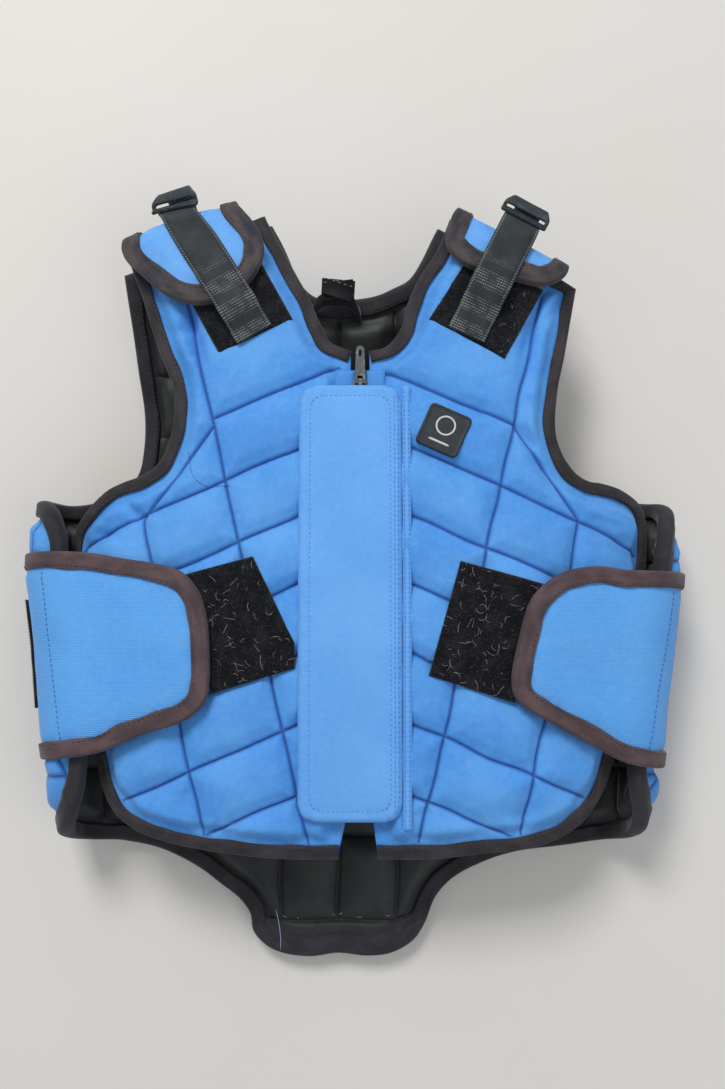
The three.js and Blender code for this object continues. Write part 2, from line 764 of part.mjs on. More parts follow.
const rowHalf = rowThickness / 2;
const plateFoot = zipLevel + rowHalf + layerGap;
const pivotLift = Math.hypot(pivotBar, pullThickness) / 2 + pivotClearance - 0.15;
const pivotLevel = plateFoot + plateThickness + pivotLift;
const pivotY = sliderY + sliderLength / 2 - 1.5;

function buildZip() {
  for (const { name, sign } of sides) {
    const teethFrom = (y) => layerGap / 2 + spreadAt(y);
    const tapeFrom = (y) => teethFrom(y) + rowWidth + layerGap;
    const row = zipStrip(sign, zipFoot, zipTop, teethFrom, (y) => teethFrom(y) + rowWidth,
      zipLevel - rowHalf, zipLevel + rowHalf);
    const tape = zipStrip(sign, zipFoot, zipTop, tapeFrom, () => tapeFrom(zipFoot) + tapeWidth,
      zipLevel - tapeThickness / 2, zipLevel + tapeThickness / 2);
    place(`zip_teeth_${name}`, row, "metal");
    place(`zip_tape_${name}`, tape, "blueCloth");
  }
  // The slider lies along the zip at its place.
  const zipFrame = new THREE.Group();
  zipFrame.position.copy(drapeFront(zipX, sliderY, 0));
  zipFrame.rotation.x = Math.atan(frontHeight(zipX, sliderY + 0.5) - frontHeight(zipX, sliderY - 0.5));
  body.add(zipFrame);
  const upperPlate = boxAt(sliderWidth, sliderLength, plateThickness, 0, 0, plateFoot + plateThickness / 2);
  const lowerPlate = upperPlate.clone().translate(0, 0, 2 * (zipLevel - plateFoot) - plateThickness);
  const postLength = 2.6;
  const post = boxAt(0.8, postLength, rowThickness + 2 * layerGap + plateThickness,
    0, (sliderLength - postLength) / 2, zipLevel);
  const barRoom = pivotBar + 2 * pivotClearance;
  const bridgeHeight = pivotLift + barRoom / 2 + bridgeWall;
  const bridge = boxAt(bridgeWidth, barRoom + 2 * bridgeWall, bridgeHeight + 0.2,
    0, pivotY - sliderY, plateFoot + plateThickness + (bridgeHeight - 0.2) / 2);
  const barHole = boxAt(bridgeWidth + 2, barRoom, barRoom, 0, pivotY - sliderY, pivotLevel);
  const slider = cut(join([upperPlate, lowerPlate, post, bridge]), [barHole]);
  place("zip_slider", slider, "metal", zipFrame);

  // The pull lies on the zip towards the neck, and turns up about its bar.
  const pull = new THREE.Shape();
  const half = pullWidth / 2;
  pull.moveTo(-half, -pivotBar / 2);
  pull.lineTo(half, -pivotBar / 2);
  pull.lineTo(half * 0.75, pullLength - half);
  pull.absarc(0, pullLength - half, half * 0.75, 0, Math.PI, false);
  pull.closePath();
  const windowHalf = bridgeWidth / 2 + pivotClearance;
  const bridgeWindow = new THREE.Path();
  bridgeWindow.moveTo(-windowHalf, pivotBar / 2);
  bridgeWindow.lineTo(-windowHalf, pivotBar / 2 + 3.6);
  bridgeWindow.lineTo(windowHalf, pivotBar / 2 + 3.6);
  bridgeWindow.lineTo(windowHalf, pivotBar / 2);
  bridgeWindow.closePath();
  const cordHole = new THREE.Path();
  cordHole.absellipse(0, pullLength - half * 1.6, 1.1, 2.6, 0, 2 * Math.PI, true);
  pull.holes.push(bridgeWindow, cordHole);
  const extrusion = { depth: pullThickness, bevelEnabled: false, curveSegments: 6 };
  const plate = new THREE.ExtrudeGeometry(pull, extrusion);
  plate.translate(0, 0, -pullThickness / 2);
  const hinged = new THREE.Group();
  hinged.position.set(0, pivotY - sliderY, pivotLevel);
  zipFrame.add(hinged);
  place("zip_pull", plate, "metal", hinged);
}
buildZip();

// A flat patch with rounded corners, laid over the front between two heights above it.
function patch(points, lowW, highW, step) {
  const outline = sampleOutline(points, step);
  const mesh = panelMesh(outline, [], [], [6]);
  return sheetGeometry(
    mesh,
    (p) => drapeFront(p.x, p.y, lowW),
    (p) => drapeFront(p.x, p.y, highW)
  );
}

// A rectangle's corners, rounded by cutting each corner with two points.
function roundedBox(x0, x1, y0, y1, round) {
  const corners = [[x0, y0, 1, 1], [x1, y0, -1, 1], [x1, y1, -1, -1], [x0, y1, 1, -1]];
  return corners.flatMap(([x, y, inX, inY], i) => {
    const along = { x: x + inX * round, y, sharp: "edge" };
    const middle = { x: x + inX * round * 0.29, y: y + inY * round * 0.29 };
    const up = { x, y: y + inY * round, sharp: "edge" };
    return i % 2 ? [along, middle, up] : [up, middle, along];
  });
}

// The cover flap over the zip, sewn on along the wearer's left by a narrow base strip.
const flapMiddle = -3.6;
const flapRound = 11;
function buildFlap() {
  const [x0, x1] = [flapMiddle - flapWidth / 2, flapMiddle + flapWidth / 2];
  const outline = roundedBox(x0, x1, flapTop - flapLength, flapTop, flapRound);
  place("zip_flap", patch(outline, patchGap, patchGap + flapThickness, 24), "blueCloth");
  const baseX = x1 + layerGap;
  const base = roundedBox(baseX, baseX + flapBaseWidth, flapTop - flapLength - 5, flapTop, 1.5);
  place("zip_flap_base", patch(base, patchGap, patchGap + flapBaseThickness, 24), "blueCloth");
}
buildFlap();

// Hook and loop patches at the waist and on the shoulders, as corners in shares of halfWidth and level.
const patchColumns = ["across", "level"];
const waistPatches = {
  right: rows(patchColumns, [
    [-0.488, 0.004],
    [-0.296, 0.05],
    [-0.175, -0.24],
    [-0.175, -0.33],
    [-0.413, -0.42],
  ]),
  left: rows(patchColumns, [[0.3, 0.038], [0.573, -0.04], [0.451, -0.453], [0.207, -0.355]]),
};
const shoulderPatches = {
  right: rows(patchColumns, [[-0.545, 0.83], [-0.404, 0.595], [-0.188, 0.692], [-0.315, 0.905]]),
  left: rows(patchColumns, [[0.216, 0.692], [0.437, 0.582], [0.56, 0.78], [0.35, 0.895]]),
};
const cornersOf = (table) =>
  table.map((p) => ({ x: p.across * halfWidth, y: levelToY(p.level), sharp: "corner" }));
for (const { name } of sides) {
  const waist = patch(cornersOf(waistPatches[name]), patchGap, patchGap + hookTapeThickness, 26);
  place(`waist_velcro_${name}`, waist, "hookTape");
  const shoulder = patch(cornersOf(shoulderPatches[name]), patchGap, patchGap + hookTapeThickness, 24);
  place(`shoulder_velcro_${name}`, shoulder, "hookTape");
}
const onPatch = patchGap + hookTapeThickness + layerGap;

// Waist belts. A belt lies over its patch, leaves the front, bridges to the rolled side and follows it
// down to the seam. s runs from the belt's rounded end outwards, w above the belt's middle.
const beltColumns = ["reach", "drop", "sharp"];
const belts = {
  right: {
    top: 15.5,
    end: 0.423,
    outline: rows(beltColumns, [
      [1.0, 0.0, "edge"],
      [0.64, 0.02],
      [0.42, 0.055],
      [0.26, 0.08],
      [0.133, 0.12],
      [0.055, 0.205],
      [0.016, 0.315],
      [0.0, 0.47],
      [0.0, 0.64],
      [0.023, 0.72],
      [0.117, 0.79],
      [0.305, 0.85],
      [0.484, 0.906],
      [0.625, 0.953],
      [1.0, 1.03, "root"],
    ]),
  },
  left: {
    top: 3,
    end: 0.437,
    outline: rows(beltColumns, [
      [1.0, 0.0, "edge"],
      [0.66, 0.008],
      [0.48, -0.008],
      [0.33, 0.01],
      [0.235, 0.047],
      [0.13, 0.14],
      [0.063, 0.33],
      [0.023, 0.523],
      [0.047, 0.6],
      [0.266, 0.72],
      [0.5, 0.83],
      [0.73, 0.94],
      [1.0, 1.05, "root"],
    ]),
  },
};
const beltHalf = tapeHalf(beltThickness, softTape);
const beltRadius = sideRadius + layerGap + beltSlack + beltHalf;

// The belt's bridge from the front to the rolled side at one y: where it starts and how it lands.
function beltBridge(y, side) {
  const lift = drapeFront(beltLeave, y, onPatch + beltHalf);
  const [dx, dz] = [lift.x - flatHalf(y, side), lift.z - sideRadius];
  const landing = Math.atan2(dz, dx) - Math.acos(beltRadius / Math.hypot(dx, dz));
  return { lift, landing, length: Math.sqrt(dx * dx + dz * dz - beltRadius ** 2) };
}
function drapeBelt(side, sign, end, s, y, w) {
  const start = end * halfWidth;
  const { lift, landing, length } = beltBridge(y, side);
  const onFront = beltLeave - start;
  let point;
  if (s < onFront) point = drapeFront(start + s, y, onPatch + beltHalf + w);
  else if (s < onFront + length) {
    const along = s - onFront;
    const [c, d] = [Math.cos(landing), Math.sin(landing)];
    point = new THREE.Vector3(lift.x + d * along + c * w, y, lift.z - c * along + d * w);
  } else {
    const angle = landing - (s - onFront - length) / beltRadius;
    const r = beltRadius + w;
    point = new THREE.Vector3(flatHalf(y, side) + r * Math.cos(angle), y, sideRadius + r * Math.sin(angle));
  }
  point.x *= sign;
  return point;
}
const beltRunAt = (y, side, end) => {
  const { landing, length } = beltBridge(y, side);
  return beltLeave - end * halfWidth + length + beltRadius * (landing - radians(beltRootAngle));
};
function buildBelt({ name, sign }) {
  const { top, end, outline: table } = belts[name];
  const points = table.map((p) => {
    const y = top - p.drop * beltHeight;
    return { x: p.reach * beltRunAt(y, name, end), y, sharp: p.sharp, stretch: p.sharp };
  });
  const outline = sampleOutline(points, beltOutlineStep);
  const ribs = [0.3, 0.5, 0.7].map((share) => {
    const y = top - share * beltHeight;
    return [{ x: 0, y }, { x: beltRunAt(y, name, end), y }];
  });
  const mesh = panelMesh(outline, [], ribs, [lipDepth]);
  const drape = (s, y, w) => drapeBelt(name, sign, end, s, y, w);
  const half = beltThickness / 2;
  const sheet = sheetGeometry(mesh, (p) => drape(p.x, p.y, -half), (p) => drape(p.x, p.y, half));
  place(`waist_belt_${name}`, sheet, "blueCloth");
  const bound = (p) => p.stretch === "edge" || p.first;
  const folded = bindingGeometry(outline, drape, 0, beltThickness, bound, softTape);
  place(`waist_belt_binding_${name}`, folded, "tape");
}
sides.forEach(buildBelt);

// Shoulder caps. Each has a frame on its shoulder's edge: u runs along the edge, s up the cap. Past the
// edge the cap turns over and comes back under itself to the back's shoulder.
const capColumns = ["along", "up"];
const capSize = 44; // half width of a cap
const shoulders = {
  right: {
    x: -0.493,
    level: 0.941,
    tilt: 16.5,
    outline: rows(capColumns, [
      [-0.98, 0.16],
      [-0.97, -0.1],
      [-0.8, -0.45],
      [-0.6, -0.79],
      [-0.33, -1.04],
      [0.0, -1.14],
      [0.36, -1.1],
      [0.64, -0.95],
      [0.85, -0.7],
      [0.91, -0.45],
      [0.84, -0.13],
      [0.72, 0.16],
    ]),
    strap: { end: [0.455, -1.795], top: [-0.136, 0.455], loopTurn: -16 },
  },
  left: {
    x: 0.479,
    level: 0.895,
    tilt: -28.5,
    outline: rows(capColumns, [
      [-1.0, 0.16],
      [-0.99, -0.1],
      [-0.87, -0.46],
      [-0.5, -0.6],
      [-0.1, -0.52],
      [0.19, -0.46],
      [0.58, -0.32],
      [0.75, -0.1],
      [0.76, 0.16],
    ]),
    strap: { end: [-0.023, -1.545], top: [-0.114, 0.455], loopTurn: 0 },
  },
};
const capHalf = tapeHalf(capLip, softTape);
const capLevel = onPatch + capHalf; // the cap's middle over the front's outer face
const backGap = bindingCloth + rolledClearance + layerGap;

// A point of a cap. s is a true length at the height level above the cap's middle.
function drapeCap(shoulder, u, s, w, level = 0) {
  const tilt = radians(shoulder.tilt);
  const [ux, uy] = [Math.cos(tilt), Math.sin(tilt)];
  const flat = (v) => [
    shoulder.x * halfWidth + ux * u - uy * v,
    levelToY(shoulder.level) + uy * u + ux * v,
  ];
  if (s <= capRunOn) return drapeFront(...flat(s), capLevel + w);
  const [x, y] = flat(capRunOn);
  const foot = drapeFront(x, y, capLevel);
  const normal = drapeFront(x, y, capLevel + 1).sub(foot);
  const up = new THREE.Vector3(-uy, ux, 0);
  const forward = up.addScaledVector(normal, -up.dot(normal)).normalize();
  const centre = foot.clone().addScaledVector(normal, -capRadius);
  const turn = Math.min((s - capRunOn) / (capRadius + level), Math.PI);
  const back = s - capRunOn - Math.PI * (capRadius + level);
  centre.addScaledVector(forward, Math.sin(turn) * (capRadius + w) - Math.max(0, back));
  return centre.addScaledVector(normal, Math.cos(turn) * (capRadius + w));
}

const capEnd = capRunOn + Math.PI * capRadius + capRunOn - backGap - capEndSlack;
function buildCap({ name }) {
  const shoulder = shoulders[name];
  const front = shoulder.outline.map((p) => ({ x: p.along * capSize, y: p.up * capSize }));
  const last = shoulder.outline.length - 1;
  const [startX, endX] = [front[0].x, front[last].x];
  const turned = 8;
  const right = [];
  const left = [];
  for (let i = 1; i <= turned; i += 1) {
    const y = mix(front[0].y, capEnd, i / turned);
    right.push({ x: endX, y });
    left.unshift({ x: startX, y });
  }
  const points = [...left, ...front, ...right];
  points[0].sharp = points[0].stretch = "edge";
  points[points.length - 1].sharp = points[points.length - 1].stretch = "root";
  const outline = sampleOutline(points, capOutlineStep);
  const spine = [[{ x: 0, y: -capSize }, { x: 0, y: capEnd }]];
  const mesh = panelMesh(outline, [], spine, [lipDepth, lipDepth + 6]);
  const thick = (p) => mix(capLip, capThickness, smooth((p.edge - lipDepth) / 6)) / 2;
  const drape = (u, s, w) => drapeCap(shoulder, u, s, w);
  const sheet = sheetGeometry(mesh, (p) => drape(p.x, p.y, -thick(p)), (p) => drape(p.x, p.y, thick(p)));
  place(`shoulder_cap_${name}`, sheet, "blueCloth");
  const bound = (p) => p.stretch === "edge" || p.first;
  place(`shoulder_cap_binding_${name}`, bindingGeometry(outline, drape, 0, capLip, bound, softTape), "tape");
}
sides.forEach(buildCap);

// Webbing, loops and their tabs lie on the caps. height is over the cap's outer side.
const loopHeight = strapThickness + layerGap + 0.8; // under a loop's bars
const strapLow = capHalf + layerGap + strapThickness / 2;
const barMiddle = capHalf + loopHeight + loopWall / 2;
const foldClearance = 1.0;
const foldRadius = (loopWall + strapThickness) / 2 + foldClearance;

// A ribbon through stations { u, s, w, cross }: cross turns its width away from the u direction.
function ribbon(shoulder, stations, width, thickness) {
  const half = thickness / 2;
  const sections = stations.map((p, i) => {
    const before = stations[Math.max(0, i - 1)];
    const after = stations[Math.min(stations.length - 1, i + 1)];
    const [ds, dw] = [after.s - before.s, after.w - before.w];
    const length = Math.hypot(ds, dw);
    const [ns, nw] = [-dw / length, ds / length];
    const [cx, cy] = [Math.cos(p.cross), Math.sin(p.cross)];
    const at = (side, face) =>
      drapeCap(shoulder, p.u + side * cx * width / 2, p.s + side * cy * width / 2 + face * ns * half,
        p.w + face * nw * half, barMiddle);
    return [at(-1, -1), at(1, -1), at(1, 1), at(-1, 1)];
  });
  return sweepGeometry(sections, square);
}

function buildStrap({ name }) {
  const shoulder = shoulders[name];
  const { loopTurn } = shoulder.strap;
  const [end, top] = [shoulder.strap.end, shoulder.strap.top].map(([u, s]) => [u * capSize, s * capSize]);
  const lean = Math.atan2(top[0] - end[0], top[1] - end[1]);
  const turn = radians(loopTurn);
  const capFoot = Math.min(...shoulder.outline.map((p) => p.up)) * capSize;
  const onPatchLevel = strapThickness / 2 - capHalf;
  const stations = [];
  const count = 14;
  for (let i = 0; i <= count; i += 1) {
    const t = i / count;
    const s = mix(end[1], top[1], t);
    const overCap = smooth((s - (capFoot - strapClimbStart)) / strapClimb);
    const overBar = smooth((s - (top[1] - barClimbStart)) / barClimb);
    const w = mix(mix(onPatchLevel, strapLow, overCap), barMiddle + foldRadius, overBar);
    stations.push({ u: mix(end[0], top[0], t), s, w, cross: mix(-lean, turn, smooth((t - 0.55) / 0.4)) });
  }
  for (let i = 1; i < foldSteps; i += 1) {
    const angle = (Math.PI * i) / foldSteps;
    const w = barMiddle + foldRadius * Math.cos(angle);
    stations.push({ u: top[0], s: top[1] + foldRadius * Math.sin(angle), w, cross: turn });
  }
  for (let i = 0; i <= 2; i += 1)
    stations.push({ u: top[0], s: top[1] - (strapReturn * i) / 2, w: barMiddle - foldRadius, cross: turn });
  place(`shoulder_strap_${name}`, ribbon(shoulder, stations, strapWidth, strapThickness), "webbing");

  // The loop: a flat ring whose near bar lies in the strap's fold and whose far bar holds its tab.
  const across = strapWidth / 2 + foldClearance;
  const bars = [-loopWall / 2, loopWall / 2, loopWall / 2 + loopGap, 1.5 * loopWall + loopGap];
  const ringPoint = (q, p, w) => {
    const [cx, cy] = [Math.cos(turn), Math.sin(turn)];
    return drapeCap(shoulder, top[0] + q * cx - p * cy, top[1] + q * cy + p * cx, w, barMiddle);
  };
  const corners = [
    [across, bars[1]],
    [across, bars[2]],
    [0, bars[2]],
    [-across, bars[2]],
    [-across, bars[1]],
    [0, bars[1]],
  ];
  const outerCorners = [
    [across + loopWall, bars[0]],
    [across + loopWall, bars[3]],
    [0, bars[3]],
    [-across - loopWall, bars[3]],
    [-across - loopWall, bars[0]],
    [0, bars[0]],
  ];
  const [low, high] = [barMiddle - loopWall / 2, barMiddle + loopWall / 2];
  const ring = corners.map((inner, i) => [
    ringPoint(...inner, low),
    ringPoint(...outerCorners[i], low),
    ringPoint(...outerCorners[i], high),
    ringPoint(...inner, high),
  ]);
  place(`strap_loop_${name}`, sweepGeometry(ring), "plastic");

  // The tab folds round the loop's far bar and runs down the cap's back.
  const farRun = loopWall + loopGap;
  const far = top[1] + farRun * Math.cos(turn);
  const tabU = top[0] - farRun * Math.sin(turn);
  const tabEnd = far + tabRun;
  const tab = [];
  const tabPoint = (s, w) => tab.push({ u: tabU, s, w, cross: turn });
  const upperEnd = barMiddle - foldRadius + strapThickness + layerGap;
  for (let i = 0; i <= 4; i += 1)
    tabPoint(mix(tabEnd, far, i / 4), mix(upperEnd, barMiddle + foldRadius, smooth((i - 1) / 3)));
  for (let i = 1; i < foldSteps; i += 1) {
    const angle = (Math.PI * i) / foldSteps;
    tabPoint(far - foldRadius * Math.sin(angle), barMiddle + foldRadius * Math.cos(angle));
  }
  for (let i = 0; i <= 4; i += 1) tabPoint(mix(far, tabEnd, i / 4), barMiddle - foldRadius);
  place(`loop_tab_${name}`, ribbon(shoulder, tab, strapWidth - 1, strapThickness), "webbing");
}
sides.forEach(buildStrap);

// A bare rubber badge on the wearer's left front.
const badge = { x: 0.255, y: 0.384, turn: -24 };
function buildBadge() {
  const turn = radians(badge.turn);
  const square = roundedBox(-badgeSide / 2, badgeSide / 2, -badgeSide / 2, badgeSide / 2, 3);
  const points = square.map((p) => ({
    x: badge.x * halfWidth + p.x * Math.cos(turn) - p.y * Math.sin(turn),
    y: badge.y * shoulderRise + p.x * Math.sin(turn) + p.y * Math.cos(turn),
    sharp: p.sharp,
  }));
  place("chest_badge", patch(points, patchGap, patchGap + badgeThickness, 16), "plastic");
}
buildBadge();

// A bare cloth label on the outer side of the back, at the wearer's right.
function buildSideLabel() {
  const top = -0.075 * hemDrop;
  const count = 6;
  const sections = [];
  for (let i = 0; i <= count; i += 1) {
    const y = top - (sideLabelLength * i) / count;
    const widest = flatHalf(y, "right") + (sideRadius * Math.PI) / 2;
    const at = (share, w) => drapeBack(-widest - share * sideLabelWidth, y, w);
    const [inner, outer] = [labelSeat, labelSeat - labelThickness];
    const across = [-0.5, 0, 0.5];
    const outside = across.map((share) => at(share, outer)).reverse();
    sections.push([...across.map((share) => at(share, inner)), ...outside]);
  }
  const bentStrip = [[0, 0], [1, 0], [2, 0], [2, 1], [1, 1], [0, 1]];
  place("side_label", sweepGeometry(sections, bentStrip), "hookTape");
}
buildSideLabel();

// A tape loop to hang the protector by, on the collar's binding, and a blank size label on top of it.
const neckY = 0.812 * shoulderRise;
const hangerX = -0.066 * halfWidth;
const hangerTape = 1.2;
function buildHanger() {
  const foot = lipMiddle + tapeHalf(lipThickness, rolledTape) + layerGap;
  const loopFoot = neckY - hangerWidth - 2;
  const count = 10;
  const sections = [];
  for (let i = 0; i <= count; i += 1) {
    const angle = (Math.PI * i) / count;
    const corner = (out, dy) => {
      const x = hangerX - (hangerSpan / 2 + out) * Math.cos(angle);
      return drapeBack(x, loopFoot + dy, foot + (hangerHeight + out) * Math.sin(angle));
    };
    sections.push([
      corner(0, 0),
      corner(0, hangerWidth),
      corner(hangerTape, hangerWidth),
      corner(hangerTape, 0),
    ]);
  }
  place("hanger_loop", sweepGeometry(sections, square), "webbing");
  const labelFoot = foot + hangerHeight + hangerTape + layerGap;
  const label = [0, 0.5, 1].map((t) => {
    const y = loopFoot + t * sizeLabelLength;
    const at = (side, w) => drapeBack(hangerX + (side * sizeLabelWidth) / 2, y, labelFoot + w);
    return [at(-1, 0), at(1, 0), at(1, labelThickness), at(-1, labelThickness)];
  });
  place("size_label", sweepGeometry(label, square), "hookTape");
}
buildHanger();

export default body;
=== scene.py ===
# Looks of an equestrian body protector that lies on its back on a pale floor, front up.
# Sizes here are millimetres until a mesh is made. +X is the wearer's left, +Y runs up to the shoulders.
import math

import bpy
import numpy as np
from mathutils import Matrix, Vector, geometry


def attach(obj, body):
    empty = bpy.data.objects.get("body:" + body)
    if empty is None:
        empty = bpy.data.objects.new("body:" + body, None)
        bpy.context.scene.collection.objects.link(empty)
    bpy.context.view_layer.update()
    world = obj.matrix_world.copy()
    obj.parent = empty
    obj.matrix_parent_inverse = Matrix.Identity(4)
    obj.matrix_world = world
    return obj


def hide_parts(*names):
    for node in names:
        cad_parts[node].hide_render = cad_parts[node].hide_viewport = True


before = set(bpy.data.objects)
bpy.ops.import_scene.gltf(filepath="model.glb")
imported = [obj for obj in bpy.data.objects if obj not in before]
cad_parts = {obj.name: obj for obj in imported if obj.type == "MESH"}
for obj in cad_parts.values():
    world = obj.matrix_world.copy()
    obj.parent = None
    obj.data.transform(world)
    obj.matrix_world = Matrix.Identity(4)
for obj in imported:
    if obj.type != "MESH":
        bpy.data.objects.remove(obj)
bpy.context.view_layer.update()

MM = 0.001

# Body sizes
HALF_WIDTH = 215
SHOULDER_RISE = 237
HEM_DROP = 172
TAIL_DROP = 76
SIDE_RADIUS = 40
CROWN_HEIGHT = 87
SIDE_FALL = 34
FRONT_REACH = 0.875 * HALF_WIDTH
FALL_POWER = 5
COLLAR_LIFT = 38
COLLAR_START = 0.46 * SHOULDER_RISE

# Padding and cloth
PAD = 18
LIP = 5
LIP_MIDDLE = PAD / 2
LIP_DEPTH = 12.5
BEVEL = 9
GROOVE = 4
GROOVE_REACH = 9
FRONT_TAPE = 6.4
BACK_TAPE = 7.2
CAP_TAPE = 10.0
BELT_TAPE = 8.8
BESIDE_TAPE = 1.0
TAPE_CLOTH = 1.4
TAPE_CLEARANCE = 0.6
ROLLED_CLEARANCE = 1.4
SOFT_TAPE_CLOTH = 1.1
SOFT_TAPE_CLEARANCE = 0.7
LAYER_GAP = 0.35
PATCH_GAP = 0.5
HOOK_TAPE = 1.8
ON_PATCH = PATCH_GAP + HOOK_TAPE + LAYER_GAP

# Stitches: pitch, length, and how high they stand
QUILT_STITCH = (2.8, 2.2, 0.08)
ARC_STITCH = (2.2, 1.9, 0.1)
TAPE_STITCH = (3.3, 2.3, 0.08)
FLAP_STITCH = (3.0, 2.2, 0.1)
BELT_STITCH = (3.2, 2.4, 0.1)
LABEL_STITCH = (2.0, 1.7, 0.1)

# Zip and flap
ZIP_X = 2.5
ZIP_HALF_GAP = 6
ZIP_LEVEL = -5.6
ZIP_NECK = 0.606 * SHOULDER_RISE
FLAP_DROP = 23.6
SLIDER_DROP = 25.6
SLIDER_LENGTH = 13
ZIP_END_DROP = 11.6
ZIP_FOOT_RISE = 3
ZIP_SPREAD = 1.4
ZIP_CLOTH_WIDTH = 14
ZIP_CLOTH_HALF = 0.55
COIL_PLACE = 0.65
COIL_ROOM = 1.65
COIL_PITCH = 1.5
COIL_STEPS = 8
FLAP_TOP = ZIP_NECK - FLAP_DROP
FLAP_LENGTH = 270
FLAP_WIDTH = 64
FLAP_THICK = 3
FLAP_MIDDLE = -3.6
FLAP_ROUND = 11
FLAP_BASE = 5.5
FLAP_BASE_RUN_ON = 5
FLAP_BASE_THICK = 1.2
FLAP_STITCH_INSET = 7
ZIP_EDGE_RIGHT = (ZIP_X - ZIP_HALF_GAP) / HALF_WIDTH
ZIP_EDGE_LEFT = (ZIP_X + ZIP_HALF_GAP) / HALF_WIDTH

# Belts, caps and straps
BELT_THICK = 3
BELT_HEIGHT = 128
BELT_SHAPE_ROOT = 35
BELT_WRAP = 60
BELT_PRESS = 4.4
BELT_LEAVE = 0.56 * HALF_WIDTH
BELT_HALF = BELT_THICK / 2 + SOFT_TAPE_CLEARANCE + SOFT_TAPE_CLOTH
BELT_RADIUS = SIDE_RADIUS - BELT_PRESS + LAYER_GAP + BELT_HALF
CAP_THICK = 7
CAP_LIP = 4.2
CAP_RADIUS = 14
CAP_RUN_ON = 4
CAP_SIZE = 44
CAP_HALF = CAP_LIP / 2 + SOFT_TAPE_CLEARANCE + SOFT_TAPE_CLOTH
CAP_LEVEL = ON_PATCH + CAP_HALF
CAP_ROLLS = {"right": (11.5, 0.5), "left": (5, -1.5)}
STRAP_WIDTH = 25
STRAP_THICK = 1.6
LOOP_WALL = 2.4
LOOP_GAP = 6
TAB_RUN = 22
TAB_NARROWER = 6
STRAP_CLIMB_START = 26
STRAP_CLIMB = 19
BAR_CLIMB_START = 22
BAR_CLIMB = 20
SLOT_PLACE = 2.6
STRAP_LIFT = 0.6
BAR_MIDDLE = CAP_HALF + STRAP_THICK + LAYER_GAP + 0.8 + LOOP_WALL / 2
STRAP_LOW = CAP_HALF + LAYER_GAP + STRAP_THICK / 2
LOOP_NEAR = 4.2
LOOP_SLOT = 2.4
LOOP_PLATE = 7.6
LOOP_TAPER = 0.2
LOOP_TIP = 58
FOLD_CLEARANCE = 1.0
FOLD_RADIUS = (LOOP_WALL + STRAP_THICK) / 2 + FOLD_CLEARANCE

# Badge, labels and hanging loop
BADGE_SIZE = 28
BADGE_THICK = 2.2
BADGE_RIM = 1.4
BADGE_SUNK = 0.5
BADGE_TURN = -24
SIDE_LABEL_WIDTH = 17
SIDE_LABEL_LENGTH = 70
SIDE_LABEL_SEAM = 0.44
HANGER_REACH = 16
HANGER_RISE = 9
HANGER_TAPE = 1.2
HANGER_WIDTH = 7
HANGER_LEAN = 12
SIZE_LABEL_HALF = 11
SIZE_LABEL_HEIGHT = 11

# How the body lies: level, crown share, right and left half width shares.
LIE = np.array([
    (-2.0, 0.86, 0.9, 0.86), (-1.0, 0.88, 0.9, 0.87), (-0.85, 0.9, 0.92, 0.9), (-0.5, 0.96, 0.95, 0.93),
    (-0.25, 0.99, 0.97, 0.96), (0.0, 1.0, 1.0, 0.99), (0.4, 0.985, 1.0, 1.0), (0.6, 0.95, 1.0, 1.0),
    (0.8, 0.9, 1.0, 1.0), (1.0, 0.84, 1.0, 1.0),
])
SIGNS = {"right": -1, "left": 1}

# Outlines: share of the half width, level, and a name where a stretch starts at a sharp corner.
FRONT_OUTLINES = {
    "right": [
        (-0.05, -1.0, "hem"), (-0.197, -1.0), (-0.347, -0.985), (-0.498, -0.958), (-0.634, -0.912),
        (-0.71, -0.85), (-0.75, -0.765), (-0.775, -0.64), (-0.808, -0.465), (-0.854, -0.232),
        (-0.878, -0.03), (-0.878, 0.093), (-0.85, 0.156), (-0.76, 0.228), (-0.7, 0.25), (-0.634, 0.268),
        (-0.578, 0.304), (-0.545, 0.371), (-0.534, 0.451), (-0.54, 0.515), (-0.578, 0.599),
        (-0.615, 0.684), (-0.652, 0.781), (-0.7, 0.886, "shoulder"), (-0.286, 0.997, "neck"),
        (-0.183, 0.819), (-0.155, 0.772), (-0.117, 0.69), (-0.085, 0.635),
        (ZIP_EDGE_RIGHT, 0.606, "zip"), (ZIP_EDGE_RIGHT, -0.75),
    ],
    "left": [
        (0.062, -1.0, "hem"), (0.216, -1.0), (0.357, -0.983), (0.53, -0.959), (0.657, -0.884),
        (0.732, -0.767), (0.765, -0.651), (0.808, -0.465), (0.859, -0.232), (0.89, 0.0), (0.905, 0.09),
        (0.905, 0.155), (0.883, 0.203), (0.817, 0.236), (0.742, 0.25), (0.7, 0.253), (0.653, 0.274),
        (0.61, 0.325), (0.588, 0.388), (0.596, 0.498), (0.624, 0.608), (0.648, 0.709),
        (0.671, 0.802, "shoulder"), (0.291, 0.987, "neck"), (0.254, 0.903), (0.197, 0.819),
        (0.16, 0.738), (0.143, 0.675), (0.094, 0.62),
        (ZIP_EDGE_LEFT, 0.606, "zip"), (ZIP_EDGE_LEFT, -0.75),
    ],
}
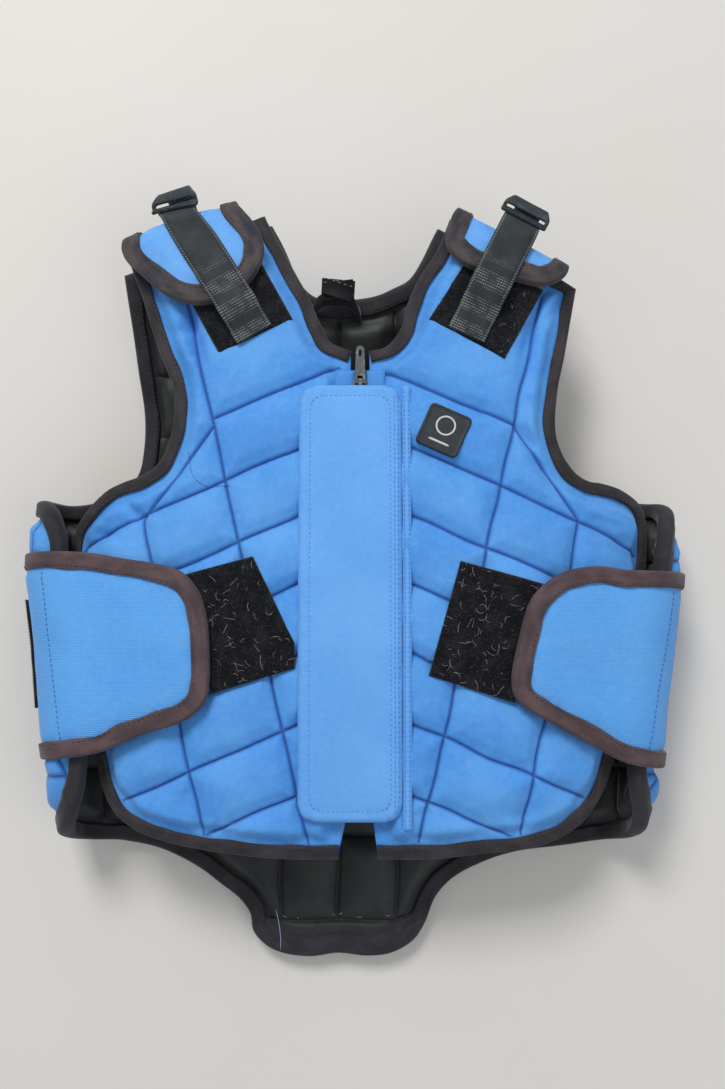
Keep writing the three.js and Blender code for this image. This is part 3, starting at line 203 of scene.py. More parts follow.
BACK_OUTLINE = [
    (-0.052, 0.808), (-0.141, 0.818), (-0.188, 0.853), (-0.235, 0.935),
    (-0.272, 0.995, "shoulderRight"), (-0.715, 0.872, "armholeRight"), (-0.7, 0.75), (-0.69, 0.633),
    (-0.676, 0.506), (-0.676, 0.4), (-0.695, 0.312), (-0.742, 0.262), (-0.822, 0.23), (-0.939, 0.211),
    (-1.08, 0.211), (-1.183, 0.203), (-1.268, 0.176), (-1.319, 0.11), (-1.333, 0.0), (-1.33, -0.2),
    (-1.305, -0.45), (-1.28, -0.65), (-1.24, -0.767), (-1.174, -0.86), (-1.089, -0.918),
    (-0.986, -0.953), (-0.854, -0.977), (-0.714, -0.99), (-0.6, -1.05), (-0.484, -1.21),
    (-0.413, -1.355), (-0.352, -1.487), (-0.318, -1.62), (-0.31, -1.76), (-0.272, -1.875),
    (-0.22, -1.94), (-0.14, -1.965), (-0.056, -1.935), (0.03, -1.96), (0.105, -1.935), (0.165, -1.84),
    (0.2, -1.7), (0.233, -1.48), (0.288, -1.31), (0.39, -1.16), (0.493, -1.07), (0.643, -1.015),
    (0.798, -0.98), (0.939, -0.953), (1.042, -0.907), (1.117, -0.843), (1.164, -0.779),
    (1.207, -0.674), (1.23, -0.523), (1.254, -0.349), (1.268, -0.174), (1.258, 0.0), (1.23, 0.059),
    (1.192, 0.118), (1.146, 0.169), (1.07, 0.203), (0.962, 0.215), (0.845, 0.23), (0.742, 0.253),
    (0.657, 0.275), (0.6, 0.321), (0.573, 0.4), (0.573, 0.506), (0.582, 0.633), (0.596, 0.75),
    (0.62, 0.815, "shoulderLeft"), (0.26, 0.985, "neckLeft"), (0.211, 0.903), (0.174, 0.861),
    (0.122, 0.838), (0.061, 0.818),
]
WAIST_PATCHES = {
    "right": [(-0.488, 0.004), (-0.296, 0.05), (-0.175, -0.24), (-0.175, -0.33), (-0.413, -0.42)],
    "left": [(0.3, 0.038), (0.573, -0.04), (0.451, -0.453), (0.207, -0.355)],
}
SHOULDER_PATCHES = {
    "right": [(-0.545, 0.83), (-0.404, 0.595), (-0.188, 0.692), (-0.315, 0.905)],
    "left": [(0.216, 0.692), (0.437, 0.582), (0.56, 0.78), (0.35, 0.895)],
}
# Belts: top edge, end share, and an outline of reach along the belt, drop and stretch name.
BELTS = {
    "right": (15.5, 0.423, [
        (1.0, 0.0, "edge"), (0.64, 0.02), (0.42, 0.055), (0.26, 0.08), (0.133, 0.12), (0.055, 0.205),
        (0.016, 0.315), (0.0, 0.47), (0.0, 0.64), (0.023, 0.72), (0.117, 0.79), (0.305, 0.85),
        (0.484, 0.906), (0.625, 0.953), (1.0, 1.03, "root"),
    ]),
    "left": (3, 0.437, [
        (1.0, 0.0, "edge"), (0.66, 0.008), (0.48, -0.008), (0.33, 0.01), (0.235, 0.047), (0.13, 0.14),
        (0.063, 0.33), (0.023, 0.523), (0.047, 0.6), (0.266, 0.72), (0.5, 0.82), (0.73, 0.905),
        (1.0, 0.975, "root"),
    ]),
}
# Across places of each belt's side seam, at its top and its foot, and loose hairs on each waist patch.
SIDE_SEAMS = {"right": (-197, -181), "left": (200, 178.5)}
HAIRS = {"right": 52, "left": 84}
SHOULDER_HAIRS = 16
FUZZ = 900
# Shoulders: place and tilt of the cap's frame, its outline, and the strap's ends in that frame.
SHOULDERS = {
    "right": {
        "x": -0.493, "level": 0.941, "tilt": 16.5, "loop_turn": -16,
        "end": (0.455, -1.795), "top": (-0.136, 0.455),
        "outline": [(-0.98, 0.16), (-0.97, -0.1), (-0.8, -0.45), (-0.6, -0.79), (-0.33, -1.04),
                    (0.0, -1.14), (0.36, -1.1), (0.64, -0.95), (0.85, -0.7), (0.91, -0.45),
                    (0.84, -0.13), (0.72, 0.16)],
    },
    "left": {
        "x": 0.479, "level": 0.895, "tilt": -28.5, "loop_turn": 0,
        "end": (-0.023, -1.545), "top": (-0.114, 0.455),
        "outline": [(-1.0, 0.16), (-0.99, -0.1), (-0.87, -0.46), (-0.5, -0.6), (-0.1, -0.52),
                    (0.19, -0.46), (0.58, -0.32), (0.75, -0.1), (0.76, 0.16)],
    },
}


# Small maths
def smooth(t):
    t = np.clip(t, 0, 1)
    return t * t * (3 - 2 * t)


def mix(a, b, t):
    return a + (b - a) * t


def unit(v):
    return v / np.maximum(np.linalg.norm(v, axis=-1, keepdims=True), 1e-9)


def ripple(x, y, size, seed):
    """Soft uneven waves of about the given size, from -1 to 1."""
    rng = np.random.default_rng(seed)
    total = 0
    for _ in range(6):
        angle, phase = rng.uniform(0, 2 * math.pi, 2)
        k = 2 * math.pi / (size * rng.uniform(0.7, 1.6))
        total = total + np.sin(k * (x * math.cos(angle) + y * math.sin(angle)) + phase)
    return total / 3.6


def level_to_y(level):
    if level >= 0:
        return level * SHOULDER_RISE
    if level >= -1:
        return level * HEM_DROP
    return -HEM_DROP + (level + 1) * TAIL_DROP


def y_to_level(y):
    y = np.asarray(y, float)
    lower = np.where(y >= -HEM_DROP, y / HEM_DROP, -1 + (y + HEM_DROP) / TAIL_DROP)
    return np.where(y >= 0, y / SHOULDER_RISE, lower)


def lie(column, y):
    return np.interp(y_to_level(y), LIE[:, 0], LIE[:, column])


def flat_half(y, sign):
    share = np.where(np.asarray(sign) < 0, lie(2, y), lie(3, y))
    return share * HALF_WIDTH - SIDE_RADIUS


# Drape maps: from a flat pattern and a height to a place in space
def front_height(x, y):
    fall = SIDE_FALL * np.minimum(np.abs(x) / FRONT_REACH, 1.12) ** FALL_POWER
    return lie(1, y) * CROWN_HEIGHT - fall


def drape_front(x, y, w):
    h = 0.5
    x, y, w = np.broadcast_arrays(*(np.asarray(v, float) for v in (x, y, w)))
    slope_x = (front_height(x + h, y) - front_height(x - h, y)) / (2 * h)
    slope_y = (front_height(x, y + h) - front_height(x, y - h)) / (2 * h)
    normal = unit(np.stack([-slope_x, -slope_y, np.ones_like(x)], -1))
    return np.stack([x, y, front_height(x, y)], -1) + normal * w[..., None]


def collar_rise(y):
    return COLLAR_LIFT * smooth((y - COLLAR_START) / (0.97 * SHOULDER_RISE - COLLAR_START))


def drape_back(a, y, w):
    a, y, w = np.broadcast_arrays(*(np.asarray(v, float) for v in (a, y, w)))
    sign = np.where(a < 0, -1, 1)
    flat = flat_half(y, sign)
    tilt = np.arctan(collar_rise(y + 0.5) - collar_rise(y - 0.5))
    rise = collar_rise(y)
    lying = np.stack([a, y - w * np.sin(tilt), rise + w * np.cos(tilt)], -1)
    turn = (np.abs(a) - flat) / SIDE_RADIUS
    r = SIDE_RADIUS - w
    rolled = np.stack([sign * (flat + r * np.sin(turn)), y, rise + SIDE_RADIUS - r * np.cos(turn)], -1)
    return np.where((np.abs(a) <= flat)[..., None], lying, rolled)


def belt_drape(side):
    """The map of a waist belt: s along it from its free end, w over its middle."""
    sign = SIGNS[side]
    start = BELTS[side][1] * HALF_WIDTH

    def bridge(y):
        lift = drape_front(BELT_LEAVE + 0 * y, y, ON_PATCH + BELT_HALF)
        dx, dz = lift[..., 0] - flat_half(y, sign), lift[..., 2] - SIDE_RADIUS
        reach = np.hypot(dx, dz)
        landing = np.arctan2(dz, dx) - np.arccos(BELT_RADIUS / reach)
        return lift, landing, np.sqrt(reach ** 2 - BELT_RADIUS ** 2)

    def drape(s, y, w):
        s, y, w = np.broadcast_arrays(*(np.asarray(v, float) for v in (s, y, w)))
        lift, landing, length = bridge(y)
        on_front = BELT_LEAVE - start
        lying = drape_front(start + s, y, ON_PATCH + BELT_HALF + w)
        along = s - on_front
        c, d = np.cos(landing), np.sin(landing)
        bridged = np.stack([lift[..., 0] + d * along + c * w, y, lift[..., 2] - c * along + d * w], -1)
        angle = landing - (along - length) / BELT_RADIUS
        r = BELT_RADIUS + w
        rolled = np.stack([flat_half(y, sign) + r * np.cos(angle), y, SIDE_RADIUS + r * np.sin(angle)], -1)
        point = np.where((s < on_front)[..., None], lying,
                         np.where((along < length)[..., None], bridged, rolled))
        point[..., 0] *= sign
        return point

    def run(y):
        _, landing, length = bridge(np.asarray(y, float))
        return BELT_LEAVE - start + length + BELT_RADIUS * (landing - math.radians(BELT_SHAPE_ROOT))

    return drape, run


def cap_drape(side, radius=CAP_RADIUS, run_on=CAP_RUN_ON):
    """The map of a shoulder cap: u along the shoulder's edge, s up the cap and over it."""
    shoulder = SHOULDERS[side]
    tilt = math.radians(shoulder["tilt"])
    ux, uy = math.cos(tilt), math.sin(tilt)

    def flat(u, v):
        x = shoulder["x"] * HALF_WIDTH + ux * u - uy * v
        return x, level_to_y(shoulder["level"]) + uy * u + ux * v

    def drape(u, s, w, level=0):
        u, s, w = np.broadcast_arrays(*(np.asarray(v, float) for v in (u, s, w)))
        lying = drape_front(*flat(u, s), CAP_LEVEL + w)
        x, y = flat(u, run_on)
        foot = drape_front(x, y, CAP_LEVEL)
        normal = drape_front(x, y, CAP_LEVEL + 1) - foot
        up = np.array([-uy, ux, 0.0])
        forward = unit(up - normal * (normal @ up)[..., None])
        centre = foot - normal * radius
        reach = radius + level
        turn = np.minimum((s - run_on) / reach, math.pi)
        back = s - run_on - math.pi * reach
        ahead = np.sin(turn) * (radius + w) - np.maximum(0, back)
        over = centre + forward * ahead[..., None] + normal * (np.cos(turn) * (radius + w))[..., None]
        return np.where((s <= run_on)[..., None], lying, over)

    return drape


# Outlines
def catmull_rom(points, per_span=16):
    """A centripetal curve through points."""
    p = np.asarray(points, float)
    p = np.vstack([2 * p[0] - p[1], p, 2 * p[-1] - p[-2]])
    t = np.linspace(0, 1, per_span, endpoint=False)[:, None]
    out = []
    for i in range(1, len(p) - 2):
        p0, p1, p2, p3 = p[i - 1:i + 3]
        d0, d1, d2 = (np.linalg.norm(b - a) ** 0.5 for a, b in ((p0, p1), (p1, p2), (p2, p3)))
        m1 = ((p1 - p0) / d0 - (p2 - p0) / (d0 + d1) + (p2 - p1) / d1) * d1
        m2 = ((p2 - p1) / d1 - (p3 - p1) / (d1 + d2) + (p3 - p2) / d2) * d1
        square, cube = 3 * (p2 - p1) - 2 * m1 - m2, 2 * (p1 - p2) + m1 + m2
        out.append(p1 + m1 * t + square * t ** 2 + cube * t ** 3)
    return np.vstack(out + [p[-2:-1]])


def lengths_along(path):
    return np.concatenate([[0], np.cumsum(np.linalg.norm(np.diff(path, axis=0), axis=1))])


def resample(path, count):
    """count + 1 points at even steps along a path."""
    run = lengths_along(path)
    at = np.linspace(0, run[-1], count + 1)
    return np.stack([np.interp(at, run, path[:, k]) for k in range(path.shape[1])], -1)


def nearest_line(xy, lines):
    """Distance to the nearest of some straight lines, how far along it, and which one it is."""
    best = np.full(len(xy), 1e3)
    along = np.zeros(len(xy))
    which = np.zeros(len(xy), int)
    for i, (a, b) in enumerate(lines):
        d = np.subtract(b, a)
        t = np.clip((xy - a) @ d / (d @ d), 0, 1)
        gap = np.hypot(*(xy - a - t[:, None] * d).T)
        closer = gap < best
        best[closer] = gap[closer]
        along[closer] = t[closer] * np.hypot(*d)
        which[closer] = i
    return best, along, which


class Outline:
    """A closed outline: fine points, inward directions that stay steady at corners, stretch names."""

    def __init__(self, rows, coarse, fine):
        rows = [(r + (None,))[:3] for r in rows]
        start = next(i for i, r in enumerate(rows) if r[2])
        ring = rows[start:] + rows[:start] + [rows[start]]
        parts = max(1, round(coarse / fine))
        points, self.names = [], []
        stretch = [ring[0]]
        for row in ring[1:]:
            stretch.append(row)
            if not row[2]:
                continue
            curve = catmull_rom([r[:2] for r in stretch])
            count = max(1, round(lengths_along(curve)[-1] / coarse)) * parts
            points.append(resample(curve, count)[:-1])
            self.names += [stretch[0][2]] * count
            stretch = [row]
        self.xy = np.vstack(points)
        self.parts = parts
        self.inward = self._steady_inward(parts)
        self.along = lengths_along(np.vstack([self.xy, self.xy[:1]]))

    def _steady_inward(self, parts):
        corners = self.xy[::parts]
        ahead = unit(np.roll(corners, -1, 0) - corners)
        before = np.roll(ahead, 1, 0)
        x, y = self.xy.T
        turn = np.sign(np.sum(x * np.roll(y, -1) - np.roll(x, -1) * y))
        n1, n2 = (turn * np.stack([-d[:, 1], d[:, 0]], -1) for d in (before, ahead))
        middle = unit(n1 + n2)
        middle /= np.maximum(0.6, np.sum(middle * n1, 1))[:, None]
        share = (np.arange(len(self.xy)) % parts / parts)[:, None]
        index = np.arange(len(self.xy)) // parts
        return mix(middle[index], middle[(index + 1) % len(middle)], share)

    def distance(self, xy):
        """Distance to the outline, and how far along it the nearest point is."""
        gap, along, which = nearest_line(xy, list(zip(self.xy, np.roll(self.xy, -1, 0))))
        return gap, self.along[which] + along

    def inside(self, xy):
        found = np.zeros(len(xy), bool)
        for i, p in enumerate(self.xy):
            q = self.xy[(i + 1) % len(self.xy)]
            crosses = (p[1] > xy[:, 1]) != (q[1] > xy[:, 1])
            if p[1] != q[1]:
                found ^= crosses & (xy[:, 0] < (q[0] - p[0]) * (xy[:, 1] - p[1]) / (q[1] - p[1]) + p[0])
        return found


def scaled(rows):
    return [(r[0] * HALF_WIDTH, level_to_y(r[1])) + tuple(r[2:]) for r in rows]


def fill_points(outline, step):
    """Inner points of a flat pattern in a honeycomb, clear of its edge."""
    low, high = outline.xy.min(0), outline.xy.max(0)
    rows = np.arange(low[1], high[1], step * 0.866)
    grid = []
    for k, y in enumerate(rows):
        x = np.arange(low[0] + (k % 2) * step / 2, high[0], step)
        grid.append(np.stack([x, np.full(len(x), y)], -1))
    xy = np.vstack(grid)
    xy = xy[outline.inside(xy)]
    gap, _ = outline.distance(xy)
    return xy[gap > step * 0.6]


def seam_points(outline, step, seams):
    """Honeycomb points, with rows along the seams in place of those near them."""
    lines, seed, pitch, offsets, lip = seams
    grid = fill_points(outline, step)
    gap, _, _ = nearest_line(waved(grid, seed), lines)
    edge, _ = outline.distance(grid)
    kept = [grid[(gap > offsets[-1] + 0.5 * step) | (edge < lip)]]
    for a, b in lines:
        length = math.dist(a, b)
        ahead = np.subtract(b, a) / length
        path = np.array(a) + ahead * np.arange(0, length, pitch)[:, None]
        for offset in [-v for v in offsets[:0:-1]] + list(offsets):
            row = path + np.array([-ahead[1], ahead[0]]) * offset
            gap, _, _ = nearest_line(row, lines)
            row = unwaved(row[gap > abs(offset) - 0.05], seed)
            row = row[outline.inside(row)]
            edge, _ = outline.distance(row)
            kept.append(row[edge > lip])
    return np.vstack(kept)


def triangulate(outline, step, seams=None):
    inner = seam_points(outline, step, seams) if seams else fill_points(outline, step)
    xy = np.vstack([outline.xy, inner])
    ring = [list(range(len(outline.xy)))]
    verts, _, faces, *_ = geometry.delaunay_2d_cdt([Vector(p) for p in xy], [], ring, 1, 1e-6)
    return np.array([v[:] for v in verts]), np.array(faces)


# Mesh making
def make_object(name, points, faces, materials, uv=None, attributes=None, face_material=None):
    """A smooth mesh from points in millimetres. uv is a flat place for each point, in millimetres."""
    mesh = bpy.data.meshes.new(name)
    mesh.from_pydata((np.asarray(points) * MM).tolist(), [], faces)
    for m in materials:
        mesh.materials.append(m)
    if face_material is not None:
        mesh.polygons.foreach_set("material_index", np.asarray(face_material, np.int32))
    loops = np.zeros(len(mesh.loops), np.int32)
    mesh.loops.foreach_get("vertex_index", loops)
    flat = np.zeros((len(points), 2)) if uv is None else np.asarray(uv) * MM
    layer = mesh.uv_layers.new(name="flat")
    layer.data.foreach_set("uv", flat[loops].astype(np.float32).ravel())
    for key, values in (attributes or {}).items():
        mesh.attributes.new(key, "FLOAT", "POINT").data.foreach_set("value", np.asarray(values, np.float32))
    mesh.polygons.foreach_set("use_smooth", np.ones(len(mesh.polygons), bool))
    mesh.update()
    piece = bpy.data.objects.new(name, mesh)
    bpy.context.scene.collection.objects.link(piece)
    return piece


def finish_piece(piece, replaced=()):
    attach(piece, "protector")
    if replaced:
        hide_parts(*replaced)
    return piece


def sheet_faces(faces, count):
    """Faces of a closed sheet: its top, its foot and the rim between them."""
    top = faces.tolist()
    foot = (faces[:, ::-1] + count).tolist()
    edges = set()
    for i, j, k in top:
        edges.update(((i, j), (j, k), (k, i)))
    rim = [[j, i, count + i, count + j] for i, j in edges if (j, i) not in edges]
    return top, foot, rim


def turn_out(points, faces):
    """Faces turned so that the closed body's volume is positive."""
    volume = 0
    for f in faces[:: max(1, len(faces) // 4000)]:
        a, b, c = points[f[0]], points[f[1]], points[f[2]]
        volume += np.dot(a - points.mean(0), np.cross(b - a, c - a))
    return faces if volume > 0 else [f[::-1] for f in faces]


class Pad:
    """A closed padded sheet over a flat pattern, between a foot and a top height."""

    def __init__(self, outline, drape, top, foot):
        self.outline, self.drape, self.top, self.foot = outline, drape, top, foot

    def build(self, name, step, materials, shade=None, seams=None):
        xy, faces = triangulate(self.outline, step, seams)
        info = self.measure(xy)
        points = np.vstack([self.drape(*xy.T, self.top(xy, info)), self.drape(*xy.T, self.foot(xy, info))])
        top, foot, rim = sheet_faces(faces, len(xy))
        both = {k: np.tile(v, 2) for k, v in (shade(xy, info) if shade else {}).items()}
        index = np.repeat([0, min(1, len(materials) - 1), 0], [len(top), len(foot), len(rim)])
        faces = turn_out(points, top + foot + rim)
        return make_object(name, points, faces, materials, np.tile(xy, (2, 1)), both, index)

    def measure(self, xy):
        edge, along = self.outline.distance(xy)
        return {"edge": edge, "along": along}

    def on_top(self, xy, lift=0.0):
        info = self.measure(xy)
        return self.drape(*xy.T, self.top(xy, info) + lift)


def sweep_faces(count, around, closed):
    faces = []
    for i in range(count if closed else count - 1):
        n = (i + 1) % count
        for k in range(around):
            m = (k + 1) % around
            faces.append([i * around + k, i * around + m, n * around + m, n * around + k])
    if not closed:
        faces.append(list(range(around))[::-1])
        faces.append([(count - 1) * around + k for k in range(around)])
    return faces


def sweep(name, sections, materials, closed=False, uv=None, attributes=None):
    """A solid through sections of shape (stations, points round, 3)."""
    sections = np.asarray(sections, float)
    count, around = sections.shape[:2]
    points = sections.reshape(-1, 3)
    faces = turn_out(points, sweep_faces(count, around, closed))
    flat = None if uv is None else np.asarray(uv).reshape(-1, 2)
    return make_object(name, points, faces, materials, flat, attributes)


def tubes(name, paths, radius, material, sides=5):
    """Many thin threads in one mesh, each along a path of points."""
    points, faces = [], []
    base = 0
    for path in paths:
        path = np.asarray(path, float)
        ahead = unit(np.gradient(path, axis=0))
        side = unit(np.cross(ahead, [0.31, 0.22, 0.92]))
        up = np.cross(side, ahead)
        angle = np.linspace(0, 2 * math.pi, sides, endpoint=False)
        taper = np.full(len(path), radius)
        taper[[0, -1]] *= 0.4
        ring = path[:, None] + taper[:, None, None] * (np.cos(angle)[None, :, None] * side[:, None]
                                                       + np.sin(angle)[None, :, None] * up[:, None])
        points.append(ring.reshape(-1, 3))
        faces += [[base + i for i in f] for f in sweep_faces(len(path), sides, False)]
        base += len(path) * sides
    return make_object(name, np.vstack(points), faces, [material])


def stitches(surface, path, pitch, length, lift):
    """Centre lines of stitches along a flat path. surface(xy, lift) gives places in space."""
    path = np.asarray(path, float)
    run = lengths_along(path)[-1]
    count = max(1, int(run / pitch))
    places = resample(path, count * 8)
    starts = np.arange(count) * 8
    share = np.array([0, 0.25, 0.5, 0.75, 1.0]) * length / pitch * 8
    arch = np.array([-0.25, 0.12, 0.2, 0.12, -0.25]) + lift
    index = (starts[:, None] + share[None] + 0.5).astype(int)
    flat = places[np.minimum(index, len(places) - 1)]
    heights = np.tile(arch, count)
    spots = surface(flat.reshape(-1, 2), heights).reshape(count, 5, 3)
    return list(spots)


# Materials
def srgb(r, g, b):
    """A colour from 0 to 255 as the shader's linear numbers."""
    def one(c):
        c /= 255
        return c / 12.92 if c <= 0.04045 else ((c + 0.055) / 1.055) ** 2.4
    return one(r), one(g), one(b), 1.0


class Shade:
    """A node material with short calls for the nodes used here."""

    def __init__(self, name, roughness=0.8, metallic=0.0, sheen=0.0, specular=0.5):
        self.material = bpy.data.materials.new(name)
        self.material.use_nodes = True
        self.tree = self.material.node_tree
        self.bsdf = self.tree.nodes["Principled BSDF"]
        self.bsdf.inputs["Roughness"].default_value = roughness
        self.bsdf.inputs["Metallic"].default_value = metallic
        self.bsdf.inputs["Sheen Weight"].default_value = sheen
        self.bsdf.inputs["Sheen Roughness"].default_value = 0.4
        self.bsdf.inputs["Specular IOR Level"].default_value = specular
        self.flat = self.node("ShaderNodeUVMap")
        self.flat.uv_map = "flat"
        self.flat = self.flat.outputs["UV"]

    def node(self, kind, **settings):
        made = self.tree.nodes.new(kind)
        for key, value in settings.items():
            setattr(made, key, value)
        return made

    def put(self, socket, value):
        if isinstance(value, bpy.types.NodeSocket):
            self.tree.links.new(value, socket)
        else:
            socket.default_value = value

    def noise(self, size, detail=3.0, place=None, stretch=(1, 1, 1), rough=0.55):
        """Noise with blobs of about size millimetres, from 0 to 1."""
        mapping = self.node("ShaderNodeMapping")
        self.put(mapping.inputs["Vector"], place or self.flat)
        mapping.inputs["Scale"].default_value = [1 / (size * MM * s) for s in stretch]
        noise = self.node("ShaderNodeTexNoise")
        self.put(noise.inputs["Vector"], mapping.outputs["Vector"])
        noise.inputs["Scale"].default_value = 1.0
        noise.inputs["Detail"].default_value = detail
        noise.inputs["Roughness"].default_value = rough
        return noise.outputs["Fac"]

    def bands(self, period, turn=0.0, waver=0.0):
        """Even bands with a period in millimetres, turned by an angle in degrees, from 0 to 1."""
        mapping = self.node("ShaderNodeMapping", vector_type="POINT")
        self.put(mapping.inputs["Vector"], self.flat)
        mapping.inputs["Rotation"].default_value[2] = math.radians(turn)
        wave = self.node("ShaderNodeTexWave")
        self.put(wave.inputs["Vector"], mapping.outputs["Vector"])
        wave.inputs["Scale"].default_value = math.pi / (10 * period * MM)
        wave.inputs["Distortion"].default_value = waver
        wave.inputs["Detail"].default_value = 1.0
        return wave.outputs["Fac"]

    def math(self, operation, a, b=0.5, c=0.5):
        made = self.node("ShaderNodeMath", operation=operation)
        for socket, value in zip(made.inputs, (a, b, c)):
            self.put(socket, value)
        return made.outputs["Value"]

    def ramp(self, value, low, high):
        """0 below low, 1 above high, smooth between them."""
        made = self.node("ShaderNodeMapRange", interpolation_type="SMOOTHSTEP")
        self.put(made.inputs["Value"], value)
        made.inputs["From Min"].default_value = low
        made.inputs["From Max"].default_value = high
        return made.outputs["Result"]

    def mix(self, share, a, b):
        made = self.node("ShaderNodeMix", data_type="RGBA")
        self.put(made.inputs["Factor"], share)
        self.put(made.inputs[6], a)
        self.put(made.inputs[7], b)
        return made.outputs[2]

    def attribute(self, name):
        return self.node("ShaderNodeAttribute", attribute_name=name).outputs["Fac"]

    def colour(self, value):
        self.put(self.bsdf.inputs["Base Color"], value)

    def roughness(self, value):
        self.put(self.bsdf.inputs["Roughness"], value)

    def bump(self, height, depth, strength=1.0):
        """A height from 0 to 1 that stands for depth millimetres. Calls stack up."""
        made = self.node("ShaderNodeBump")
        made.inputs["Strength"].default_value = strength
        made.inputs["Distance"].default_value = depth * MM
        self.put(made.inputs["Height"], height)
        socket = self.bsdf.inputs["Normal"]
        if socket.is_linked:
            self.put(made.inputs["Normal"], socket.links[0].from_socket)
        self.put(socket, made.outputs["Normal"])


def blue_cloth(name, light, dark, rib_turn, rib_strength):
    """Woven nylon: fine ribs, faded patches, painted shade down in the seams, and patchy painted shade near
    bound edges.
    """
    s = Shade(name, roughness=0.72, sheen=0.12, specular=0.3)
    fade = s.ramp(s.noise(60, 4), 0.35, 0.68)
    base = s.mix(fade, dark, light)
    mottle = s.ramp(s.noise(3.2, 3), 0.3, 0.75)
    base = s.mix(s.math("MULTIPLY", mottle, 0.12), base, srgb(150, 200, 250))
    ribs = s.bands(1.25, rib_turn, 0.8)
    base = s.mix(s.math("MULTIPLY", ribs, 0.12 * rib_strength), base, srgb(40, 100, 190))
    # Painted shade: the seam mask darkens the cloth towards dark blue down in the quilt grooves and over
    # the hem strip.
    painted_seam_shade = s.mix(s.math("MULTIPLY", s.attribute("seam"), 0.9), base, srgb(14, 52, 130))
    # Painted shade beside the binding tapes and along the flap's rim, from the edge mask, broken up by
    # noise.
    painted_edge_shade = s.math("MULTIPLY", s.attribute("edge"), s.ramp(s.noise(9, 4), 0.35, 0.8))
    s.colour(s.mix(s.math("MULTIPLY", painted_edge_shade, 0.35), painted_seam_shade, srgb(45, 95, 175)))
    s.bump(s.noise(0.9, 2), 0.16, 0.7)
    s.bump(ribs, 0.14 * rib_strength, 0.8)
    s.bump(s.noise(14, 3), 0.5, 0.5)
    s.roughness(s.math("MULTIPLY_ADD", s.noise(20, 3), 0.2, 0.62))
    return s.material


def tape_cloth(name, fresh, worn, stain):
    """Ribbed binding tape, worn pale and dirty in patches, with painted shade in the crease along its
    stitch line.
    """
    s = Shade(name, roughness=0.78, sheen=0.16, specular=0.3)
    wear = s.ramp(s.noise(26, 5, stretch=(1, 0.4, 1)), 0.36, 0.66)
    base = s.mix(wear, fresh, worn)
    dirt = s.ramp(s.noise(13, 5), 0.56, 0.78)
    base = s.mix(s.math("MULTIPLY", dirt, 0.6), base, stain)
    ribs = s.bands(0.9, 0.0, 0.4)
    base = s.mix(s.math("MULTIPLY", ribs, 0.12), base, srgb(130, 118, 122))
    # Painted shade in the crease along the tape's stitch line.
    crease_shade = s.math("MULTIPLY", s.attribute("crease_shade"), 0.75)
    s.colour(s.mix(crease_shade, base, srgb(18, 15, 20)))
    s.bump(ribs, 0.12, 0.7)
    s.bump(s.noise(2.4, 3), 0.3, 0.5)
    s.bump(s.noise(9, 3, stretch=(1, 3, 1)), 0.8, 0.5)
    return s.material


def lining_cloth():
    s = Shade("lining_cloth", roughness=0.55, sheen=0.3, specular=0.4)
    base = s.mix(s.ramp(s.noise(45, 4), 0.35, 0.7), srgb(24, 28, 31), srgb(46, 50, 50))
    base = s.mix(s.math("MULTIPLY", s.ramp(s.noise(18, 4), 0.55, 0.8), 0.4), base, srgb(60, 54, 44))
    # Painted shade: the lining goes near black down in the quilt seams.
    s.colour(s.mix(s.attribute("seam"), base, srgb(6, 7, 10)))
    s.bump(s.noise(1.1, 2), 0.15, 0.6)
    s.bump(s.noise(16, 3), 0.8, 0.5)
    return s.material


def hook_tape():
    s = Shade("hook_tape", roughness=0.95, sheen=0.2, specular=0.2)
    pile = s.noise(1.3, 4, rough=0.75)
    matted = s.ramp(s.noise(11, 4), 0.4, 0.7)
    base = s.mix(matted, srgb(12, 14, 19), srgb(30, 32, 38))
    s.colour(s.mix(s.ramp(pile, 0.62, 0.85), base, srgb(62, 58, 56)))
    s.bump(pile, 0.9, 0.9)
    s.bump(s.noise(6, 3), 0.8, 0.6)
    return s.material


def webbing_cloth():
    """Dark webbing with ribs across, pale edge threads and groups of pale dotted lines."""
    s = Shade("webbing_cloth", roughness=0.6, sheen=0.2, specular=0.4)
    split = s.node("ShaderNodeSeparateXYZ")
    s.put(split.inputs["Vector"], s.flat)
    across, along = split.outputs["X"], split.outputs["Y"]
    base = s.mix(s.ramp(s.noise(20, 4), 0.35, 0.7), srgb(25, 32, 37), srgb(42, 51, 57))
    rows = s.ramp(s.bands(1.75, 90.0, 0.5), 0.55, 0.95)
    dots = s.ramp(s.bands(1.6, 0.0, 0.3), 0.35, 0.8)
    wave = s.math("SINE", s.math("MULTIPLY_ADD", along, 2 * math.pi / (17.5 * MM), 0.6))
    lower = s.math("SUBTRACT", 1.0, s.ramp(along, 46 * MM, 58 * MM))
    groups = s.math("MULTIPLY", s.ramp(wave, -0.75, 0.0), lower)
    worn = s.ramp(s.noise(7, 5), 0.36, 0.62)
    dotted = s.math("MULTIPLY", rows, s.math("MULTIPLY_ADD", dots, 0.85, 0.15))
    pale = s.math("MULTIPLY", s.math("MULTIPLY", dotted, groups), worn)
    inset = s.math("SUBTRACT", STRAP_WIDTH / 2 * MM, s.math("ABSOLUTE", across))
    from_seam = s.math("ABSOLUTE", s.math("SUBTRACT", inset, 1.2 * MM))
    near = s.math("SUBTRACT", 1.0, s.ramp(from_seam, 0.2 * MM, 0.7 * MM))
    selvedge = s.math("MULTIPLY", near, s.ramp(s.bands(1.9, 90.0), 0.25, 0.6))
    light = s.math("MAXIMUM", s.math("MULTIPLY", pale, 0.62), s.math("MULTIPLY", selvedge, 0.3))
    s.colour(s.mix(light, base, srgb(190, 196, 190)))
    s.bump(s.bands(1.15, 90.0), 0.25, 0.8)
    s.bump(s.bands(1.7, 0.0), 0.12, 0.6)
    return s.material


